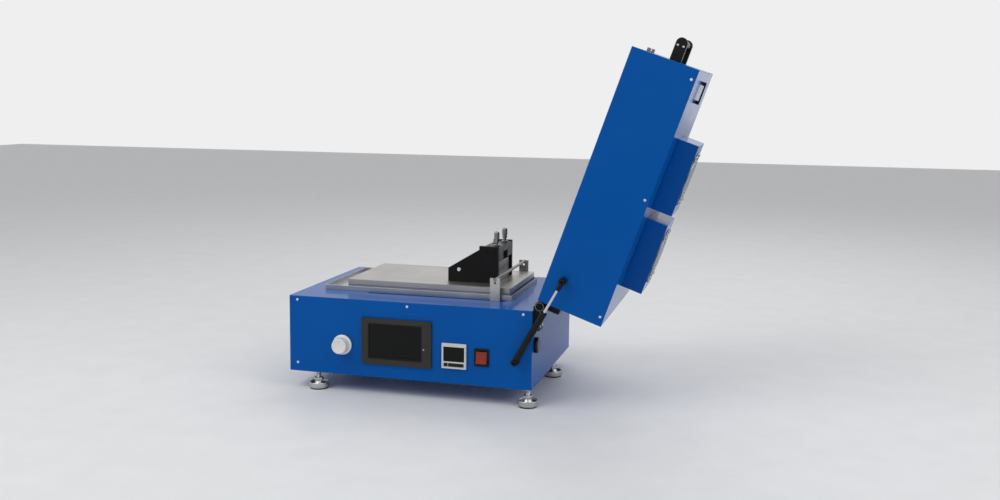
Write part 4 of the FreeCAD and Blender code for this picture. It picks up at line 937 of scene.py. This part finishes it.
@dataclass
class Hinges:
    """Two leaf hinges with capped pins, and the four-eyed struts."""

    axis_x: float = 501.7
    axis_z: float = 157.5
    leaf: float = 28.0
    leaf_face: float = Casing.wide + 12.0
    inset: float = 7.0
    barrel: float = 9.5
    screw_radius: float = 3.4
    screw_tall: float = 1.4
    screws_across: tuple[float, float] = (-8.0, 8.0)
    base_screws: tuple[float, float] = (-18.0, -37.0)
    lid_screws: tuple[float, float] = (16.5, 31.0)
    rod_end: float = 28.1
    stud_low: tuple[float, float] = (461.0, 54.75)
    stud_high: tuple[float, float] = (435.74, 183.83)
    stud_reach: float = 22.2

    def build(self) -> None:
        """Make and dress hinges and struts."""
        for node, look, width in (("hinge_base_leaves", Looks.ANODISED, 0.9),
                                  ("hinge_lid_leaves", Looks.ANODISED, 0.9),
                                  ("hinge_pins", Looks.BRIGHT, 0.4),
                                  ("strut_studs_base", Looks.GLOSS_BLACK, 0.9),
                                  ("strut_studs_lid", Looks.GLOSS_BLACK, 0.9)):
            Bench.softened(node, look, width)
        for side in ("front", "rear"):
            Bench.softened("strut_tube_" + side, Looks.GLOSS_BLACK, 0.7, 3)
            self._rod(side)
        self._caps()

    def _rod(self, side: str) -> None:
        """The bright rod with its black end fitting, split by finish.

        Args:
            side: front or rear.
        """
        piece = Bench.softened("strut_rod_" + side, Looks.BRIGHT, 0.4)
        piece.data.materials.append(Looks.GLOSS_BLACK.value.material())
        low = Vector(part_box("strut_rod_" + side)[0])
        high = Vector(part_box("strut_rod_" + side)[1])
        along = Vector((high.x - low.x, 0, high.z - low.z)).normalized()
        end = max(vertex.co.dot(along) for vertex in piece.data.vertices)
        for face in piece.data.polygons:
            if face.center.dot(along) > end - self.rod_end * MM:
                face.material_index = 1

    def _caps(self) -> None:
        """Stepped round caps with a socket on both ends of each hinge, each with a satin steel ring at its rim
        as a painted highlight.
        """
        rim = self.barrel - 1.0
        outline = [(0.0, -0.6), (rim, -0.6), (rim, 0.0), (rim - 0.6, 0.7), (rim - 2.3, 0.8), (rim - 2.7, 0.2),
                   (4.4, 0.2), (4.0, 1.1), (2.0, 1.1), (1.8, 0.2), (0.0, 0.2)]
        cap = Bench.turned("cap", outline, 56)
        Bench.bevel(cap, 0.12 * MM, 1, 40.0)
        last = Casing.deep - self.inset
        places = [at(self.axis_x, self.inset, self.axis_z, "-y"),
                  at(self.axis_x, last, self.axis_z, "+y"),
                  at(self.axis_x, self.inset + self.leaf, self.axis_z, "+y"),
                  at(self.axis_x, last - self.leaf, self.axis_z, "-y")]
        caps = Bench.joined("hinge_caps", Bench.copies(cap, places))
        Bench.dress(caps, Looks.ANODISED, "casing", slot="black_metal")
        # Painted highlight: a satin steel ring at each black cap's outer edge stands in for the light that
        # catches the cap's rim.
        corners = [(rim - 1.3, 0.2), (rim - 0.5, 0.2), (rim - 0.5, 1.0), (rim - 1.3, 1.0),
                   (rim - 1.3, 0.2)]
        ring = Bench.turned("ring", corners, 56)
        rings = Bench.joined("hinge_cap_rings", Bench.copies(ring, places))
        Bench.dress(rings, Looks.SATIN, "casing", slot="bright_steel")
        middles = (self.inset + self.leaf / 2, last - self.leaf / 2)
        for name, body, shifts, frame_of in (("base_leaf_screws", "casing", self.base_screws, ON_CASE),
                                             ("lid_leaf_screws", "lid", self.lid_screws, ON_LID)):
            spots = [at(self.leaf_face, y + across, self.axis_z + shift, "+x", frame_of)
                     for y in middles for across in self.screws_across for shift in shifts]
            screw = Bench.cross_screw("leaf_screw", self.screw_radius, self.screw_tall)
            heads = Bench.joined(name, Bench.copies(screw, spots))
            Bench.dress(heads, Looks.BRIGHT, body, slot="bright_steel")
        self._tips("base_stud_tips", "casing", self.stud_low, ON_CASE)
        self._tips("lid_stud_tips", "lid", self.stud_high, ON_LID)

    def _tips(self, name: str, body: str, place: tuple[float, float], frame_of: Matrix) -> None:
        """A small bright tip in the middle of each stud's black head.

        Args:
            name: the piece's name.
            body: the body that carries the studs.
            place: the stud's X and Z in millimetres.
            frame_of: the frame that the stud is drawn in.
        """
        tip = Bench.turned("tip", [(0.0, -0.7), (2.3, -0.7), (2.3, -0.15), (1.9, 0.0), (0.0, 0.0)], 32)
        x, z = place
        places = [at(x, -self.stud_reach, z, "-y", frame_of),
                  at(x, Casing.deep + self.stud_reach, z, "+y", frame_of)]
        tips = Bench.joined(name, Bench.copies(tip, places))
        Bench.dress(tips, Looks.BRIGHT, body, slot="black_metal")


@dataclass
class Studio:
    """Pale floor, soft lights and the camera of the photograph."""

    azimuth: float = 15.15
    elevation: float = 6.24
    roll: float = 0.58
    distance: float = 2063.94
    target: tuple[float, float, float] = (385.57, 150.0, 327.73)
    focal_pixels: float = 1038.88
    centre_row: float = 204.71
    image: tuple[int, int] = (1000, 500)
    sensor: float = 36.0
    lamps_aim: tuple[float, float, float] = (0.05, 0.0, 0.25)
    lamps: list[tuple[tuple[float, float, float], float, float]] = field(default_factory=lambda: [
        ((-1.3, -1.6, 2.1), 1.8, 26.0),
        ((1.9, -0.7, 1.7), 1.4, 13.0),
        ((0.2, 1.6, 2.2), 1.6, 12.0),
    ])

    def build(self) -> None:
        """Set the floor, the surroundings, the lamps and the camera."""
        bpy.context.scene.view_settings.view_transform = "Standard"
        self._floor()
        self._world()
        for number, (spot, size, power) in enumerate(self.lamps):
            lamp = bpy.data.lights.new("soft_lamp_%d" % number, "AREA")
            lamp.shape = "SQUARE"
            lamp.size = size
            lamp.energy = power
            holder = bpy.data.objects.new("soft_lamp_%d" % number, lamp)
            bpy.context.collection.objects.link(holder)
            holder.location = spot
            aim = Vector(self.lamps_aim) - holder.location
            holder.rotation_euler = aim.to_track_quat("-Z", "Y").to_euler()
        self._camera()

    @staticmethod
    def _floor() -> None:
        """A large pale floor under the feet."""
        Bench.clear()
        bpy.ops.mesh.primitive_plane_add(size=14.0)
        floor = Bench.name(bpy.context.object, "floor")
        floor.data.materials.append(Finish("pale_floor", "EEEFF0", "EAEBEC", rough=(0.5, 0.6),
                                           grain_scale=200.0, grain_depth=0.02).material())

    @staticmethod
    def _world() -> None:
        """Even light, with a bright wall behind what the camera and the gloss see."""
        world = bpy.data.worlds.new("studio")
        bpy.context.scene.world = world
        world.use_nodes = True
        tree = world.node_tree
        link = tree.links.new
        glow = tree.nodes["Background"]
        glow.inputs["Color"].default_value = (0.97, 0.98, 1.0, 1.0)
        glow.inputs["Strength"].default_value = 0.42
        wall = tree.nodes.new("ShaderNodeBackground")
        wall.inputs["Color"].default_value = colour("EFEFF0")
        wall.inputs["Strength"].default_value = 1.0
        path = tree.nodes.new("ShaderNodeLightPath")
        seen = tree.nodes.new("ShaderNodeMath")
        seen.operation = "MAXIMUM"
        either = tree.nodes.new("ShaderNodeMath")
        either.operation = "MAXIMUM"
        link(path.outputs["Is Camera Ray"], seen.inputs[0])
        link(path.outputs["Is Glossy Ray"], seen.inputs[1])
        link(seen.outputs["Value"], either.inputs[0])
        link(path.outputs["Is Transmission Ray"], either.inputs[1])
        mix = tree.nodes.new("ShaderNodeMixShader")
        link(either.outputs["Value"], mix.inputs["Fac"])
        link(glow.outputs["Background"], mix.inputs[1])
        link(wall.outputs["Background"], mix.inputs[2])
        link(mix.outputs["Shader"], tree.nodes["World Output"].inputs["Surface"])

    def _camera(self) -> None:
        """The camera at the photograph's place, turn and framing."""
        around, above, roll = (math.radians(value)
                               for value in (self.azimuth, self.elevation, self.roll))
        back = Vector((math.sin(around) * math.cos(above), -math.cos(around) * math.cos(above),
                       math.sin(above)))
        right = Vector((math.cos(around), math.sin(around), 0))
        up = back.cross(right)
        turned_right = right * math.cos(roll) + up * math.sin(roll)
        turned_up = up * math.cos(roll) - right * math.sin(roll)
        place = CORNER + (Vector(self.target) + back * self.distance) * MM
        data = bpy.data.cameras.new("camera")
        data.sensor_width = self.sensor
        data.lens = data.sensor_width * self.focal_pixels / self.image[0]
        data.shift_y = (self.centre_row - self.image[1] / 2) / self.image[0]
        data.clip_end = 60.0
        camera = bpy.data.objects.new("camera", data)
        bpy.context.collection.objects.link(camera)
        turn = Matrix((turned_right, turned_up, back)).transposed()
        camera.matrix_world = Matrix.Translation(place) @ turn.to_4x4()
        bpy.context.scene.camera = camera


def main() -> None:
    """Build every sub-assembly and the studio."""
    logging.basicConfig(level=logging.INFO, format="%(message)s")
    Studio().build()
    for part in (Casing(), ControlPanel(), Bed(), Applicator(), Lid(), Hinges()):
        part.build()
    Bench.clear()


if __name__ == "__main__":
    main()
